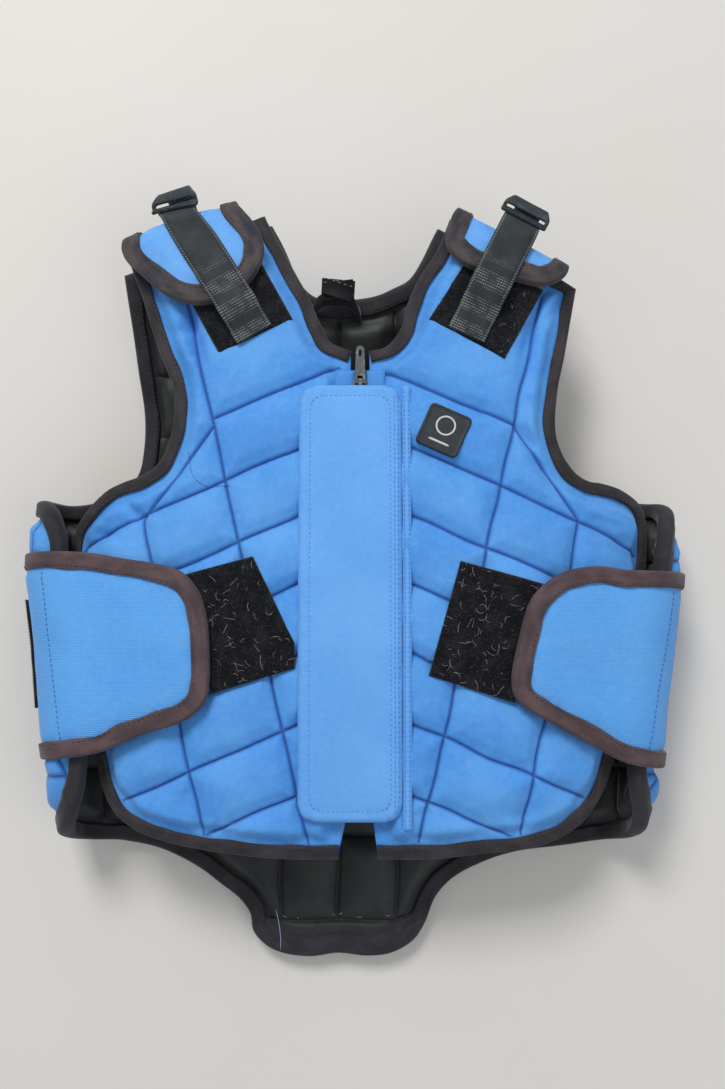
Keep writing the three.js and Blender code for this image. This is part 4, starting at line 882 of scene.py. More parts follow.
def plain_cloth(name, colour, other, size=8.0, weave=0.8):
    s = Shade(name, roughness=0.8, sheen=0.25, specular=0.3)
    s.colour(s.mix(s.ramp(s.noise(size, 4), 0.35, 0.7), colour, other))
    s.bump(s.bands(weave, 0.0), 0.12, 0.6)
    s.bump(s.bands(weave, 90.0), 0.12, 0.6)
    s.bump(s.noise(size, 3), 0.4, 0.5)
    return s.material


def moulded(name, colour, scuffed, roughness=0.45, metallic=0.0):
    """Moulded plastic, rubber or metal with scuffs."""
    s = Shade(name, roughness=roughness, metallic=metallic, specular=0.5)
    place = s.node("ShaderNodeTexCoord").outputs["Object"]
    scuffs = s.ramp(s.noise(5, 5, place), 0.5, 0.75)
    s.colour(s.mix(scuffs, colour, scuffed))
    s.roughness(s.math("MULTIPLY_ADD", s.noise(3, 4, place), 0.25, roughness - 0.1))
    s.bump(s.noise(0.8, 3, place), 0.05, 0.6)
    return s.material


def thread(name, colour, other):
    s = Shade(name, roughness=0.6, sheen=0.3)
    place = s.node("ShaderNodeTexCoord").outputs["Object"]
    s.colour(s.mix(s.noise(7, 3, place), colour, other))
    s.bump(s.noise(0.5, 2, place), 0.1, 0.8)
    return s.material


def floor_paint():
    s = Shade("floor_paint", roughness=0.55, specular=0.3)
    place = s.node("ShaderNodeTexCoord").outputs["Object"]
    s.colour(s.mix(s.noise(180, 3, place), srgb(216, 212, 206), srgb(222, 219, 214)))
    return s.material


BLUE = blue_cloth("blue_cloth", srgb(92, 163, 234), srgb(70, 145, 224), 38, 0.6)
BLUE_FLAP = blue_cloth("blue_cloth_flap", srgb(106, 171, 240), srgb(96, 163, 234), 90, 0.25)
BLUE_BELT = blue_cloth("blue_cloth_belt", srgb(94, 169, 238), srgb(84, 160, 232), 90, 1.0)
BLUE_SIDE = blue_cloth("blue_cloth_side", srgb(84, 158, 230), srgb(66, 142, 220), 90, 0.6)
TAPE_DARK = tape_cloth("tape_dark", srgb(20, 22, 27), srgb(40, 43, 51), srgb(66, 54, 46))
TAPE_CAP = tape_cloth("tape_cap", srgb(30, 36, 48), srgb(80, 70, 68), srgb(54, 47, 46))
TAPE_FRONT = tape_cloth("tape_front", srgb(19, 22, 27), srgb(52, 47, 51), srgb(56, 45, 40))
TAPE_FADED = tape_cloth("tape_faded", srgb(66, 51, 55), srgb(92, 73, 76), srgb(104, 74, 54))
LINING = lining_cloth()
HOOK = hook_tape()
WEBBING = webbing_cloth()
LOOP_PLASTIC = moulded("loop_plastic", srgb(38, 46, 54), srgb(70, 80, 88), 0.42)
RUBBER = moulded("badge_rubber", srgb(30, 36, 42), srgb(46, 52, 58), 0.6)
RUBBER_PALE = moulded("badge_pale", srgb(206, 208, 208), srgb(176, 178, 180), 0.6)
LABEL = plain_cloth("label_cloth", srgb(20, 20, 24), srgb(34, 34, 38))
LABEL_EDGE = plain_cloth("label_edge", srgb(200, 198, 190), srgb(120, 118, 112), 3.0)
HANGER = plain_cloth("hanger_cloth", srgb(20, 21, 24), srgb(38, 38, 40), 8.0, 1.2)
METAL = moulded("zip_metal", srgb(78, 80, 83), srgb(128, 128, 128), 0.34, 1.0)
COIL = moulded("zip_coil", srgb(16, 17, 20), srgb(36, 38, 42), 0.4)
BLUE_THREAD = thread("blue_thread", srgb(60, 128, 214), srgb(98, 164, 236))
SEAM_THREAD = thread("seam_thread", srgb(20, 66, 150), srgb(44, 104, 196))
SKY_THREAD = thread("sky_thread", srgb(140, 172, 216), srgb(180, 202, 232))
DARK_THREAD = thread("dark_thread", srgb(30, 26, 30), srgb(70, 60, 62))
PALE_THREAD = thread("pale_thread", srgb(150, 142, 122), srgb(226, 222, 210))


# Quilt lines, the same as the foam blocks' gaps
SEAM_WAVER = 0.9
QUILT_TOP = 0.585 * SHOULDER_RISE
QUILT_PITCH = 43
QUILT_SLOPE = 0.43
QUILT_COLUMNS = {"right": ((0.315, 0.235), (0.59, 0.2)), "left": ((0.36, 0.235), (0.625, 0.2))}


def front_quilt(side):
    sign = SIGNS[side]
    (inner, inner_lean), (outer, outer_lean) = QUILT_COLUMNS[side]
    lines = []
    for i in range(7):
        y = QUILT_TOP - i * QUILT_PITCH
        reach = inner * HALF_WIDTH + inner_lean * 100 if i == 0 else HALF_WIDTH
        lines.append(((sign * ZIP_HALF_GAP, y - QUILT_SLOPE * ZIP_HALF_GAP),
                      (sign * reach, y - QUILT_SLOPE * reach)))
    for across, lean, top in ((inner, inner_lean, 0.78), (outer, outer_lean, 0.15)):
        ends = [(sign * (across * HALF_WIDTH + lean * y), y) for y in (-HEM_DROP, top * SHOULDER_RISE)]
        lines.append(tuple(ends))
    y0, y1 = 0.4 * SHOULDER_RISE, 0.15 * SHOULDER_RISE
    lines.append(((sign * (inner * HALF_WIDTH + inner_lean * y0), y0),
                  (sign * (outer * HALF_WIDTH + outer_lean * y1), y1)))
    return lines


BACK_MIDDLE = -0.055 * HALF_WIDTH
BACK_COLUMNS = (0, 38.5, 84, 130, 165, 200, 248)
BACK_ROWS = (-0.98, -0.72, -0.46, -0.2, 0.05, 0.24, 0.43, 0.62)
TAIL_QUILT_HALF = 45


def back_quilt():
    lines = []
    for i, offset in enumerate(BACK_COLUMNS):
        for sign in ((-1, 1) if offset else (1,)):
            x = BACK_MIDDLE + sign * offset
            foot, head = (-1.68 if i < 2 else -0.98), (0.8 if i < 4 else 0.24)
            lines.append(((x, level_to_y(foot)), (x, level_to_y(head))))
    for level in BACK_ROWS:
        reach = (0.7 if level > 0.3 else 1.36) * HALF_WIDTH
        lines.append(((-reach, level_to_y(level)), (reach, level_to_y(level))))
    y = level_to_y(-1.68)
    lines.append(((BACK_MIDDLE - TAIL_QUILT_HALF, y), (BACK_MIDDLE + TAIL_QUILT_HALF, y)))
    return lines


def waver(xy, seed):
    x, y = xy.T
    return SEAM_WAVER * np.stack([ripple(x, y, 55, seed), ripple(x, y, 55, seed + 1)], -1)


def waved(xy, seed):
    """Flat places pushed about a little, so that straight seams waver."""
    return xy + waver(xy, seed)


def unwaved(xy, seed):
    """The places that waved moves to xy."""
    back = xy - waver(xy, seed)
    return xy - waver(back, seed)


def quilt_relief(xy, info, lines, seed, lip):
    """Height that a quilted face loses at its seams, with puckers beside them."""
    gap, along, which = nearest_line(waved(xy, seed), lines)
    full = smooth((info["edge"] - lip) / 5)
    dent = GROOVE * (0.62 * (1 - smooth(gap / GROOVE_REACH)) + 0.5 * np.exp(-(gap / 0.95) ** 2))
    fold = ripple(along, 37.0 * which, 6.5, seed + 5) * (0.4 + ripple(along, 11.0 * which, 24, seed + 6))
    pucker = 0.85 * fold * np.exp(-gap / 5) * (1 - 0.7 * np.exp(-(gap / 0.9) ** 2))
    edge_fold = ripple(info["along"], 0 * gap, 9, seed + 8) * np.exp(-(info["edge"] - lip) / 7)
    return full * (dent + pucker) + 0.7 * full * edge_fold, gap


def quilt_shade(info, gap, tape, seam_width):
    """Masks for painted shade down along the seams and beside the tape."""
    inside = info["edge"] > tape + BESIDE_TAPE
    beside = np.exp(-np.maximum(info["edge"] - tape, 0) / 3)
    return {"seam": np.exp(-(gap / seam_width) ** 2) * inside, "edge": beside}


def plain_shade(tape):
    """A mask for painted shade beside the tape, without seams."""
    def shade(xy, info):
        return {"seam": 0 * info["edge"], "edge": np.exp(-np.maximum(info["edge"] - tape, 0) / 2)}
    return shade


# Front halves
def fold_field(xy, folds):
    """Broad soft folds: each runs from a to b with a width and a height."""
    total = np.zeros(len(xy))
    for a, b, width, height in folds:
        gap, along, _ = nearest_line(xy, [(a, b)])
        length = math.dist(a, b)
        fade = smooth(along / (0.35 * length)) * smooth((length - along) / (0.35 * length))
        total += height * fade * np.exp(-(gap / width) ** 2)
    return total


# Broad folds of each front half: from, to, width and height.
FOLD_STRENGTH = 1.6
FRONT_FOLDS = {
    "right": [((-112, 186), (-95, 128), 3.6, -3.2), ((-124, 150), (-100, 165), 3.5, -1.6),
              ((-112, 92), (-96, 104), 3.0, -1.6), ((-157, 54), (-130, 32), 4.0, -2.4),
              ((-172, 30), (-140, 22), 3.0, -0.9), ((-60, -135), (-150, -112), 9.0, 1.0),
              ((-175, 12), (-150, 8), 3.0, -0.8), ((-118, 120), (-108, 160), 5.0, 1.2),
              ((-30, -140), (-20, -165), 4.0, -0.8), ((-90, -140), (-84, -162), 4.0, -0.8)],
    "left": [((104, 132), (124, 196), 4.0, -2.6), ((121, 138), (136, 186), 4.0, -1.8),
             ((98, 100), (118, 76), 3.6, -2.6), ((104, 116), (118, 104), 3.0, -1.2),
             ((108, 78), (124, 62), 3.0, -1.6), ((118, 160), (130, 176), 3.0, -1.8),
             ((140, 52), (172, 45), 1.8, -0.9), ((142, 46), (174, 38), 1.8, -0.9),
             ((144, 40), (178, 30), 1.8, -0.8), ((150, 22), (190, 8), 3.0, -0.9),
             ((60, -140), (140, -120), 9.0, 1.0), ((30, -140), (36, -166), 4.0, -0.9),
             ((80, -146), (120, -150), 5.0, -0.8)],
}
FRONTS = {}


def build_front(side):
    seed = 10 if side == "right" else 40
    outline = Outline(scaled(FRONT_OUTLINES[side]), 21, 2.6)
    lines = front_quilt(side)
    lip_end = FRONT_TAPE + BESIDE_TAPE

    def relief(xy, info):
        dent, gap = quilt_relief(xy, info, lines, seed, lip_end)
        x, y = xy.T
        full = smooth((info["edge"] - lip_end) / BEVEL)
        soft = 0.6 * ripple(x, y, 48, seed + 2) + 0.22 * ripple(x, y, 13, seed + 3)
        puff = 1.5 * smooth(gap / 20)
        return -dent + full * (soft + puff + FOLD_STRENGTH * fold_field(xy, FRONT_FOLDS[side])), gap

    def top(xy, info):
        raised, _ = relief(xy, info)
        lip = -LIP_MIDDLE + LIP / 2
        return mix(lip, 0, smooth((info["edge"] - lip_end) / BEVEL)) + raised

    def foot(xy, info):
        return mix(-LIP_MIDDLE - LIP / 2, -PAD, smooth((info["edge"] - LIP_DEPTH) / BEVEL))

    def shade(xy, info):
        shades = quilt_shade(info, relief(xy, info)[1], FRONT_TAPE, 0.8)
        # Painted shade over the strip under the hem tape, where the lip's rim shows at the zip.
        shades["seam"] = np.maximum(shades["seam"], xy[:, 1] < -HEM_DROP + FRONT_TAPE)
        return shades

    pad = Pad(outline, drape_front, top, foot)
    seams = (lines, seed, 1.9, (0, 0.7, 1.6, 3.0), lip_end)
    piece = pad.build(f"front_{side}", 2.1, [BLUE, LINING], shade, seams)
    finish_piece(piece, [f"front_panel_{side}"])
    FRONTS[side] = pad
    build_tape(f"front_tape_{side}", outline, drape_front, -LIP_MIDDLE, LIP, TAPE_CLEARANCE, TAPE_CLOTH,
               TAPE_FRONT, f"front_binding_{side}", FRONT_TAPE, skip="zip", seed=seed)
    seams = []
    for a, b in lines:
        path = unwaved(resample(np.array([a, b]), 120), seed)
        edge, _ = outline.distance(path)
        keep = outline.inside(path) & (edge > lip_end + 1)
        for start, stop in runs(keep):
            if stop - start > 3:
                seams += stitches(pad.on_top, path[start:stop], *QUILT_STITCH)
    if side == "right":
        arc = catmull_rom([(-106, 79), (-102.5, 64), (-95, 56.7), (-79, 56.7)])
        seams += stitches(pad.on_top, resample(arc, 60), *ARC_STITCH)
    piece = tubes(f"front_seams_{side}", seams, 0.2, SEAM_THREAD, 4)
    finish_piece(piece)


def runs(flags):
    """Start and stop of each run of true values."""
    edges = np.flatnonzero(np.diff(np.concatenate([[0], flags.astype(int), [0]])))
    return list(zip(edges[::2], edges[1::2]))


# Binding tapes
def tape_profile(lip, clearance, cloth, width):
    """A folded tape's section as inset and rise, from its upper outer edge round and back inside."""
    inner, outer = lip / 2 + clearance, lip / 2 + clearance + cloth
    nose = clearance + cloth
    turn = np.linspace(0, math.pi, 9)
    over = [(width, outer - 0.5), (width * 0.93, outer), (width * 0.6, outer + 0.15), (width * 0.3, outer)]
    bend = [(-nose * math.sin(t) - 0.3, outer * math.cos(t)) for t in turn]
    under = [(x, -y) for x, y in over[::-1]]
    back = [(width, -inner), (width * 0.5, -inner), (0, -inner * 0.8)]
    inside = [(0, inner * 0.8), (width * 0.5, inner), (width, inner)]
    return np.array(over + bend + under + back + inside)


def square_end(xy, inward, parts):
    """Inward directions that turn square to the path at its last point."""
    ahead = unit(xy[-1] - xy[-3])
    square = np.array([-ahead[1], ahead[0]])
    square = square * np.sign(square @ inward[-parts - 1])
    turned = mix(inward[-parts - 1], square, np.linspace(0, 1, parts)[:, None])
    return np.vstack([inward[:-parts], turned])


def build_tape(name, outline, drape, middle, lip, clearance, cloth, material, node, width,
               skip=None, seed=0, width_at=None):
    """The binding along an outline, apart from the stretch named skip, and its stitches."""
    picked = np.array([n != skip for n in outline.names])
    if skip:
        picked[np.flatnonzero(~picked)[:1]] = True
    xy, inward = outline.xy[picked], outline.inward[picked]
    if skip:
        inward = square_end(xy[::-1], inward[::-1], outline.parts)[::-1]
        inward = square_end(xy, inward, outline.parts)
    along = outline.along[:-1][picked]
    widths = width * np.ones(len(xy)) if width_at is None else width_at(xy, inward)
    profile = tape_profile(lip, clearance, cloth, 1.0)
    wavy = 1 + 0.08 * ripple(along, 0 * along, 22, seed + 3)
    lift = (0.4 + 0.17 * (widths - width)) * ripple(along, 0 * along, 13, seed + 4)
    across, height = profile.T[:, None]
    inset = np.where(across > 0, across * (widths * wavy)[:, None], across)
    loose = smooth(inset / width)
    rise = height + np.sign(height) * loose * np.maximum(lift, -0.2)[:, None]
    flat = xy[:, None] + inward[:, None] * inset[..., None]
    sections = drape(flat[..., 0], flat[..., 1], middle + rise)
    uv = np.stack([np.broadcast_to(along[:, None], inset.shape), inset], -1)
    # Mask for painted shade in the crease along the stitch line, on the tape's upper face.
    crease_shade = np.exp(-((inset - widths[:, None] * 0.8) / 0.5) ** 2) * (rise > 0)
    piece = sweep(name, sections, [material], skip is None, uv, {"crease_shade": crease_shade.ravel()})
    finish_piece(piece, [node])
    outer = lip / 2 + clearance + cloth
    seam_flat = xy + inward * (widths * 0.8)[:, None]
    if skip is None:
        seam_flat = np.vstack([seam_flat, seam_flat[:1]])

    def surface(places, high):
        return drape(*places.T, middle + outer + high)

    piece = tubes(f"{name}_stitches", stitches(surface, seam_flat, *TAPE_STITCH), 0.28, DARK_THREAD, 4)
    finish_piece(piece)


for side in SIGNS:
    build_front(side)


# The back: one quilted pad whose inner face is the lining
def build_back():
    outline = Outline(scaled(BACK_OUTLINE), 23.5, 2.9)
    lines = back_quilt()
    seed = 70
    lip_end = BACK_TAPE + BESIDE_TAPE

    def bevel(info):
        return smooth((info["edge"] - lip_end) / BEVEL)

    def pressed(x, y):
        """How far the belts press the wings in, near the sides."""
        sign = np.sign(x)
        beside = smooth((np.abs(x) - flat_half(y, sign) - 12) / 14)
        top = np.where(x < 0, BELTS["right"][0], BELTS["left"][0])
        under = smooth((top + 4 - y) / 9) * smooth((y - top + 1.04 * BELT_HEIGHT) / 9)
        return BELT_PRESS * beside * under

    def relief(xy, info):
        dent, gap = quilt_relief(xy, info, lines, seed, lip_end)
        x, y = xy.T
        return bevel(info) * (0.35 * ripple(x, y, 40, seed + 2) + 2.2 * smooth(gap / 16)) - dent, gap

    def top(xy, info):
        raised, _ = relief(xy, info)
        return mix(LIP_MIDDLE + LIP / 2, PAD, bevel(info)) + np.minimum(raised, 2.4)

    def foot(xy, info):
        raised, _ = relief(xy, info)
        x, y = xy.T
        rests = (np.abs(x) < flat_half(y, np.sign(x))) & (y < COLLAR_START)
        hollow = np.where(rests, np.maximum(-raised, 0.0) * 0.7, -raised * 0.35)
        base = mix(LIP_MIDDLE - LIP / 2, 0, bevel(info)) + np.where(info["edge"] > lip_end, hollow, 0)
        return np.maximum(base, pressed(x, y))

    def shade(xy, info):
        return quilt_shade(info, relief(xy, info)[1], BACK_TAPE, 1.3)

    pad = Pad(outline, drape_back, top, foot)
    seams = (lines, seed, 3.0, (0, 1.1, 2.8), lip_end)
    piece = pad.build("back", 3.2, [LINING, BLUE_SIDE], shade, seams)
    finish_piece(piece, ["back_panel", "back_lining"])

    def wide(xy, inward):
        """The tape's width: wider along the tail's foot."""
        low = smooth((-xy[:, 1] - 222) / 12)
        return BACK_TAPE + 11 * low * smooth((inward[:, 1] - 0.5) / 0.4)

    build_tape("back_tape", outline, drape_back, LIP_MIDDLE, LIP, ROLLED_CLEARANCE, TAPE_CLOTH, TAPE_DARK,
               "back_binding", BACK_TAPE, seed=seed + 5, width_at=wide)


build_back()


# Zip: cloth tapes, coils, and the metal slider with its pull
def build_zip():
    foot, top = FLAP_TOP - FLAP_LENGTH + ZIP_FOOT_RISE, ZIP_NECK - ZIP_END_DROP
    slider_foot = ZIP_NECK - SLIDER_DROP - SLIDER_LENGTH / 2

    def parting(y):
        """Half the gap between the zip's halves, which open above the slider."""
        return LAYER_GAP / 2 + ZIP_SPREAD * smooth((y - slider_foot) / SLIDER_LENGTH)

    for side, sign in SIGNS.items():
        y = np.linspace(foot, top, 120)
        tape_in = parting(y) + COIL_ROOM
        tape_out = np.full(len(y), LAYER_GAP / 2 + COIL_ROOM + ZIP_CLOTH_WIDTH)
        across = np.linspace(0, 1, 5)
        x = ZIP_X + sign * mix(tape_in[:, None], tape_out[:, None], across)
        wave = 0.12 * ripple(x, y[:, None] + 0 * x, 12, 3)
        upper = drape_front(x, y[:, None], ZIP_LEVEL + ZIP_CLOTH_HALF + wave)
        lower = drape_front(x, y[:, None], ZIP_LEVEL - ZIP_CLOTH_HALF + wave)
        sections = np.concatenate([upper, lower[:, ::-1]], 1)
        uv = np.stack([np.concatenate([x, x[:, ::-1]], 1), np.repeat(y[:, None], 10, 1)], -1)
        piece = sweep(f"zip_cloth_{side}", sections, [BLUE_SIDE], False, uv)
        finish_piece(piece, [f"zip_tape_{side}"])
        turns = np.linspace(0, 1, int((top - foot) / COIL_PITCH) * COIL_STEPS)
        cy = foot + turns * (top - foot)
        phase = turns * 2 * math.pi * (top - foot) / COIL_PITCH
        cx = ZIP_X + sign * (parting(cy) + COIL_PLACE + 0.55 * np.cos(phase))
        coil = drape_front(cx, cy, ZIP_LEVEL + 1.0 * np.sin(phase))
        piece = tubes(f"zip_coil_{side}", [coil], 0.3, COIL, 5)
        finish_piece(piece, [f"zip_teeth_{side}"])
    for node in ("zip_slider", "zip_pull"):
        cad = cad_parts[node]
        cad.data.materials.clear()
        cad.data.materials.append(METAL)
        bevel = cad.modifiers.new("rounded edges", "BEVEL")
        bevel.width = 0.16 * MM
        bevel.segments = 2
        bevel.limit_method = "ANGLE"


build_zip()


# Cover flap with its sewn base strip
def rounded_box(x0, x1, y0, y1, r):
    """Outline rows of a box with corners rounded by r."""
    out = []
    corners = (x0, y0, 1, 1), (x1, y0, -1, 1), (x1, y1, -1, -1), (x0, y1, 1, -1)
    for i, (x, y, dx, dy) in enumerate(corners):
        along, up = (x + dx * r, y, "edge"), (x, y + dy * r, "edge")
        middle = (x + dx * r * 0.29, y + dy * r * 0.29)
        out += [along, middle, up] if i % 2 else [up, middle, along]
    return out


def flat_patch(name, rows, low, high, material, step, edge_round=1.2, rough=None, coarse=24):
    """A piece sewn flat on the front, with rounded edges. rough adds height over its top."""
    outline = Outline(rows, coarse, min(coarse, max(1.0, step * 0.9)))

    def top(xy, info):
        inner = 1 - np.clip(info["edge"] / edge_round, 0, 1)
        rounded = np.sqrt(np.clip(1 - inner ** 2, 0, 1))
        extra = 0 if rough is None else rough(xy, info)
        return mix((low + high) / 2, high, rounded) + extra

    def foot(xy, info):
        return np.full(len(xy), low)

    def shade(xy, info):
        # A mask for painted shade along the piece's rim.
        return {"seam": 0 * info["edge"], "edge": np.exp(-info["edge"] / 2) * 0.5}

    pad = Pad(outline, drape_front, top, foot)
    return pad, pad.build(name, step, [material], shade)


def build_flap():
    x0, x1 = FLAP_MIDDLE - FLAP_WIDTH / 2, FLAP_MIDDLE + FLAP_WIDTH / 2
    y0, y1 = FLAP_TOP - FLAP_LENGTH, FLAP_TOP
    rows = rounded_box(x0, x1, y0, y1, FLAP_ROUND)

    def soft(xy, info):
        x, y = xy.T
        beside = info["edge"] - FLAP_STITCH_INSET
        seam = -0.55 * np.exp(-(beside / 1.3) ** 2)
        puckers = 0.14 * ripple(info["along"], 0 * x, 6, 4) * np.exp(-(beside / 4) ** 2)
        return (seam + puckers + 0.35 * ripple(x, y, 60, 5)) * smooth(info["edge"] / 4)

    high = PATCH_GAP + FLAP_THICK
    pad, piece = flat_patch("cover_flap", rows, PATCH_GAP, high, BLUE_FLAP, 2.4, 2.0, soft)
    finish_piece(piece, ["zip_flap"])
    inset = FLAP_STITCH_INSET
    ring = Outline(rounded_box(x0 + inset, x1 - inset, y0 + inset, y1 - inset, FLAP_ROUND - 3), 6, 2)
    path = np.vstack([ring.xy, ring.xy[:1]])
    threads = stitches(pad.on_top, path, *FLAP_STITCH)
    for x in (x1 - 4.5, x1 - 2.2):
        threads += stitches(pad.on_top, [(x, y0 + 6), (x, y1 - 6)], *FLAP_STITCH)
    bx = x1 + LAYER_GAP
    base_rows = rounded_box(bx, bx + FLAP_BASE, y0 - FLAP_BASE_RUN_ON, y1, 1.5)
    high = PATCH_GAP + FLAP_BASE_THICK
    base, piece = flat_patch("flap_base", base_rows, PATCH_GAP, high, BLUE_FLAP, 1.4, 0.8, None, 8)
    finish_piece(piece, ["zip_flap_base"])
    for x in (bx + 1.4, bx + 4.1):
        threads += stitches(base.on_top, [(x, y0 - 3), (x, y1 - 2)], *FLAP_STITCH)
    piece = tubes("flap_stitches", threads, 0.27, BLUE_THREAD, 4)
    finish_piece(piece)


build_flap()


# Hook and loop patches with pile and pale hairs
def hair(rng, x, y, level, length, curl):
    """One loose hair that lies in a curl."""
    t = np.linspace(0, 1, 9)
    turn = rng.uniform(0, 2 * math.pi) + curl * t * rng.choice([-1, 1])
    step = length / 8
    xs = x + np.cumsum(np.cos(turn)) * step
    ys = y + np.cumsum(np.sin(turn)) * step
    height = level + 0.5 + rng.uniform(0.2, 1.3) * np.sin(math.pi * t)
    return drape_front(xs, ys, height)


def build_patches():
    pile_rng = np.random.default_rng(3)
    hairs, fuzz = [], []
    level = PATCH_GAP + HOOK_TAPE

    def pile(xy, info):
        x, y = xy.T
        rough = 0.3 * ripple(x, y, 3.2, 8) + 0.25 * ripple(x, y, 9, 9)
        return rough * smooth(info["edge"] / 2.5)

    for side in SIGNS:
        kinds = ("waist", WAIST_PATCHES, HAIRS[side]), ("shoulder", SHOULDER_PATCHES, SHOULDER_HAIRS)
        for kind, table, amount in kinds:
            rows = [r + ("corner",) for r in scaled(table[side])]
            name = f"{kind}_patch_{side}"
            pad, piece = flat_patch(name, rows, PATCH_GAP, level, HOOK, 1.3, 1.0, pile, 26)
            finish_piece(piece, [f"{kind}_velcro_{side}"])
            low, high = pad.outline.xy.min(0), pad.outline.xy.max(0)
            spots = pile_rng.uniform(low, high, (4000, 2))
            spots = spots[pad.outline.inside(spots)]
            for x, y in spots[:amount]:
                length, curl = pile_rng.uniform(1.5, 7.5), pile_rng.uniform(0, 2.4)
                hairs.append(hair(pile_rng, x, y, level, length, curl))
            for x, y in spots[amount:amount + FUZZ]:
                fuzz.append(hair(pile_rng, x, y, level - 0.5, pile_rng.uniform(1.2, 2.6), 2.5)[::4])
    piece = tubes("loose_hairs", hairs, 0.075, PALE_THREAD, 3)
    finish_piece(piece)
    piece = tubes("patch_pile", fuzz, 0.12, DARK_THREAD, 3)
    finish_piece(piece)


build_patches()


# Waist belts
def build_belt(side):
    top_y, _, table = BELTS[side]
    drape, run = belt_drape(side)
    rows = []
    for row in table:
        y = top_y - row[1] * BELT_HEIGHT
        wrapped = BELT_RADIUS * math.radians(BELT_WRAP) if row[0] == 1 else 0
        rows.append((row[0] * float(run(y)) + wrapped, y) + tuple(row[2:]))
    outline = Outline(rows, 15, 2.5)
    seed = 120 if side == "right" else 140

    def thick(xy, info):
        x, y = xy.T
        soft = 0.35 * ripple(x, y, 45, seed) + 0.12 * ripple(x, y, 10, seed + 1)
        return BELT_THICK / 2 + (0.7 + soft) * smooth((info["edge"] - BELT_TAPE) / 6)

    def foot(xy, info):
        return np.full(len(xy), -BELT_THICK / 2)

    pad = Pad(outline, drape, thick, foot)
    piece = pad.build(f"belt_{side}", 2.6, [BLUE_BELT], plain_shade(BELT_TAPE))
    finish_piece(piece, [f"waist_belt_{side}"])
    build_tape(f"belt_tape_{side}", outline, drape, 0, BELT_THICK, SOFT_TAPE_CLEARANCE, SOFT_TAPE_CLOTH,
               TAPE_FADED, f"waist_belt_binding_{side}", BELT_TAPE, skip="root", seed=seed)
    ys = np.linspace(top_y - 12, top_y - BELT_HEIGHT * 0.94, 60)
    want = np.linspace(*SIDE_SEAMS[side], 60)
    s = np.linspace(20, 150, 400)
    path = []
    for y, x in zip(ys, want):
        places = drape(s, np.full(len(s), y), 0.0)
        path.append((s[np.argmin(np.abs(places[:, 0] - x))], y))
    path = np.array(path)
    path[:, 0] = np.convolve(np.pad(path[:, 0], 4, "edge"), np.ones(9) / 9, "valid")
    piece = tubes(f"belt_seam_{side}", stitches(pad.on_top, path, *BELT_STITCH), 0.26, SEAM_THREAD, 4)
    finish_piece(piece)


for side in SIGNS:
    build_belt(side)


# Shoulder caps, straps, loops and tabs
def build_cap(side):
    shoulder = SHOULDERS[side]
    radius, run_on = CAP_ROLLS[side]
    drape = cap_drape(side, radius, run_on)
    end = run_on * 2 + math.pi * radius - 3.2
    front = [(u * CAP_SIZE, s * CAP_SIZE) for u, s in shoulder["outline"]]
    rising = [mix(front[0][1], end, i / 8) for i in range(1, 9)]
    rows = [(front[0][0], s) for s in rising[::-1]] + front + [(front[-1][0], s) for s in rising]
    rows[0] += ("edge",)
    rows[-1] += ("root",)
    outline = Outline(rows, 11, 2.2)
    seed = 160 if side == "right" else 180

    def thick(xy, info):
        x, y = xy.T
        full = smooth((info["edge"] - CAP_TAPE - BESIDE_TAPE) / 7)
        return mix(CAP_LIP, CAP_THICK, full) / 2 + 0.25 * ripple(x, y, 22, seed) * full

    pad = Pad(outline, drape, thick, lambda xy, info: -thick(xy, info))
    piece = pad.build(f"cap_{side}", 2.4, [BLUE_FLAP], plain_shade(CAP_TAPE))
    finish_piece(piece, [f"shoulder_cap_{side}"])
    build_tape(f"cap_tape_{side}", outline, drape, 0, CAP_LIP, SOFT_TAPE_CLEARANCE, SOFT_TAPE_CLOTH,
               TAPE_CAP, f"shoulder_cap_binding_{side}", CAP_TAPE, skip="root", seed=seed)


def tipped_drape(side, top, turn):
    """The cap's map with what lies beyond the loop's near bar tipped up round that bar."""
    base = cap_drape(side)
    pivot = base(*top, BAR_MIDDLE, BAR_MIDDLE)
    beside = base(top[0] + math.cos(turn), top[1] + math.sin(turn), BAR_MIDDLE, BAR_MIDDLE)
    axis = unit(beside - pivot)

    def drape(u, s, w, level=0):
        p = base(u, s, w, level)
        far = -(np.asarray(u) - top[0]) * math.sin(turn) + (np.asarray(s) - top[1]) * math.cos(turn)
        held = smooth((far - LOOP_WALL - LOOP_GAP) / TAB_RUN)
        angle = math.radians(LOOP_TIP) * smooth(far / 3) * (1 - held)
        v = p - pivot
        c, d = np.cos(angle)[..., None], np.sin(angle)[..., None]
        return pivot + v * c + np.cross(axis, v) * d + axis * (v @ axis)[..., None] * (1 - c)

    return drape


def ribbon(name, side, stations, width, thickness, node, drape=None):
    """Webbing through stations of u, s, height and the turn of its width."""
    drape = drape or cap_drape(side)
    u, s, w, cross = np.array(stations).T
    ds, dw = np.gradient(s), np.gradient(w)
    length = np.hypot(ds, dw)
    ns, nw = -dw / length, ds / length
    across = np.array([-1, -0.98, -0.6, -0.2, 0.2, 0.6, 0.98, 1])
    thick = np.array([0.35, 0.9, 1, 0.94, 0.94, 1, 0.9, 0.35])
    q = np.concatenate([across, across[::-1]]) * width / 2
    face = np.concatenate([thick, -thick[::-1]]) * thickness / 2
    cx, cy = np.cos(cross)[:, None], np.sin(cross)[:, None]
    sections = drape(u[:, None] + q * cx, s[:, None] + q * cy + face * ns[:, None],
                     w[:, None] + face * nw[:, None], BAR_MIDDLE)
    run = lengths_along(np.stack([u, s, w], -1))
    uv = np.stack([np.tile(q, (len(u), 1)), np.repeat(run[:, None], len(q), 1)], -1)
    piece = sweep(name, sections, [WEBBING], False, uv)
    return finish_piece(piece, [node])


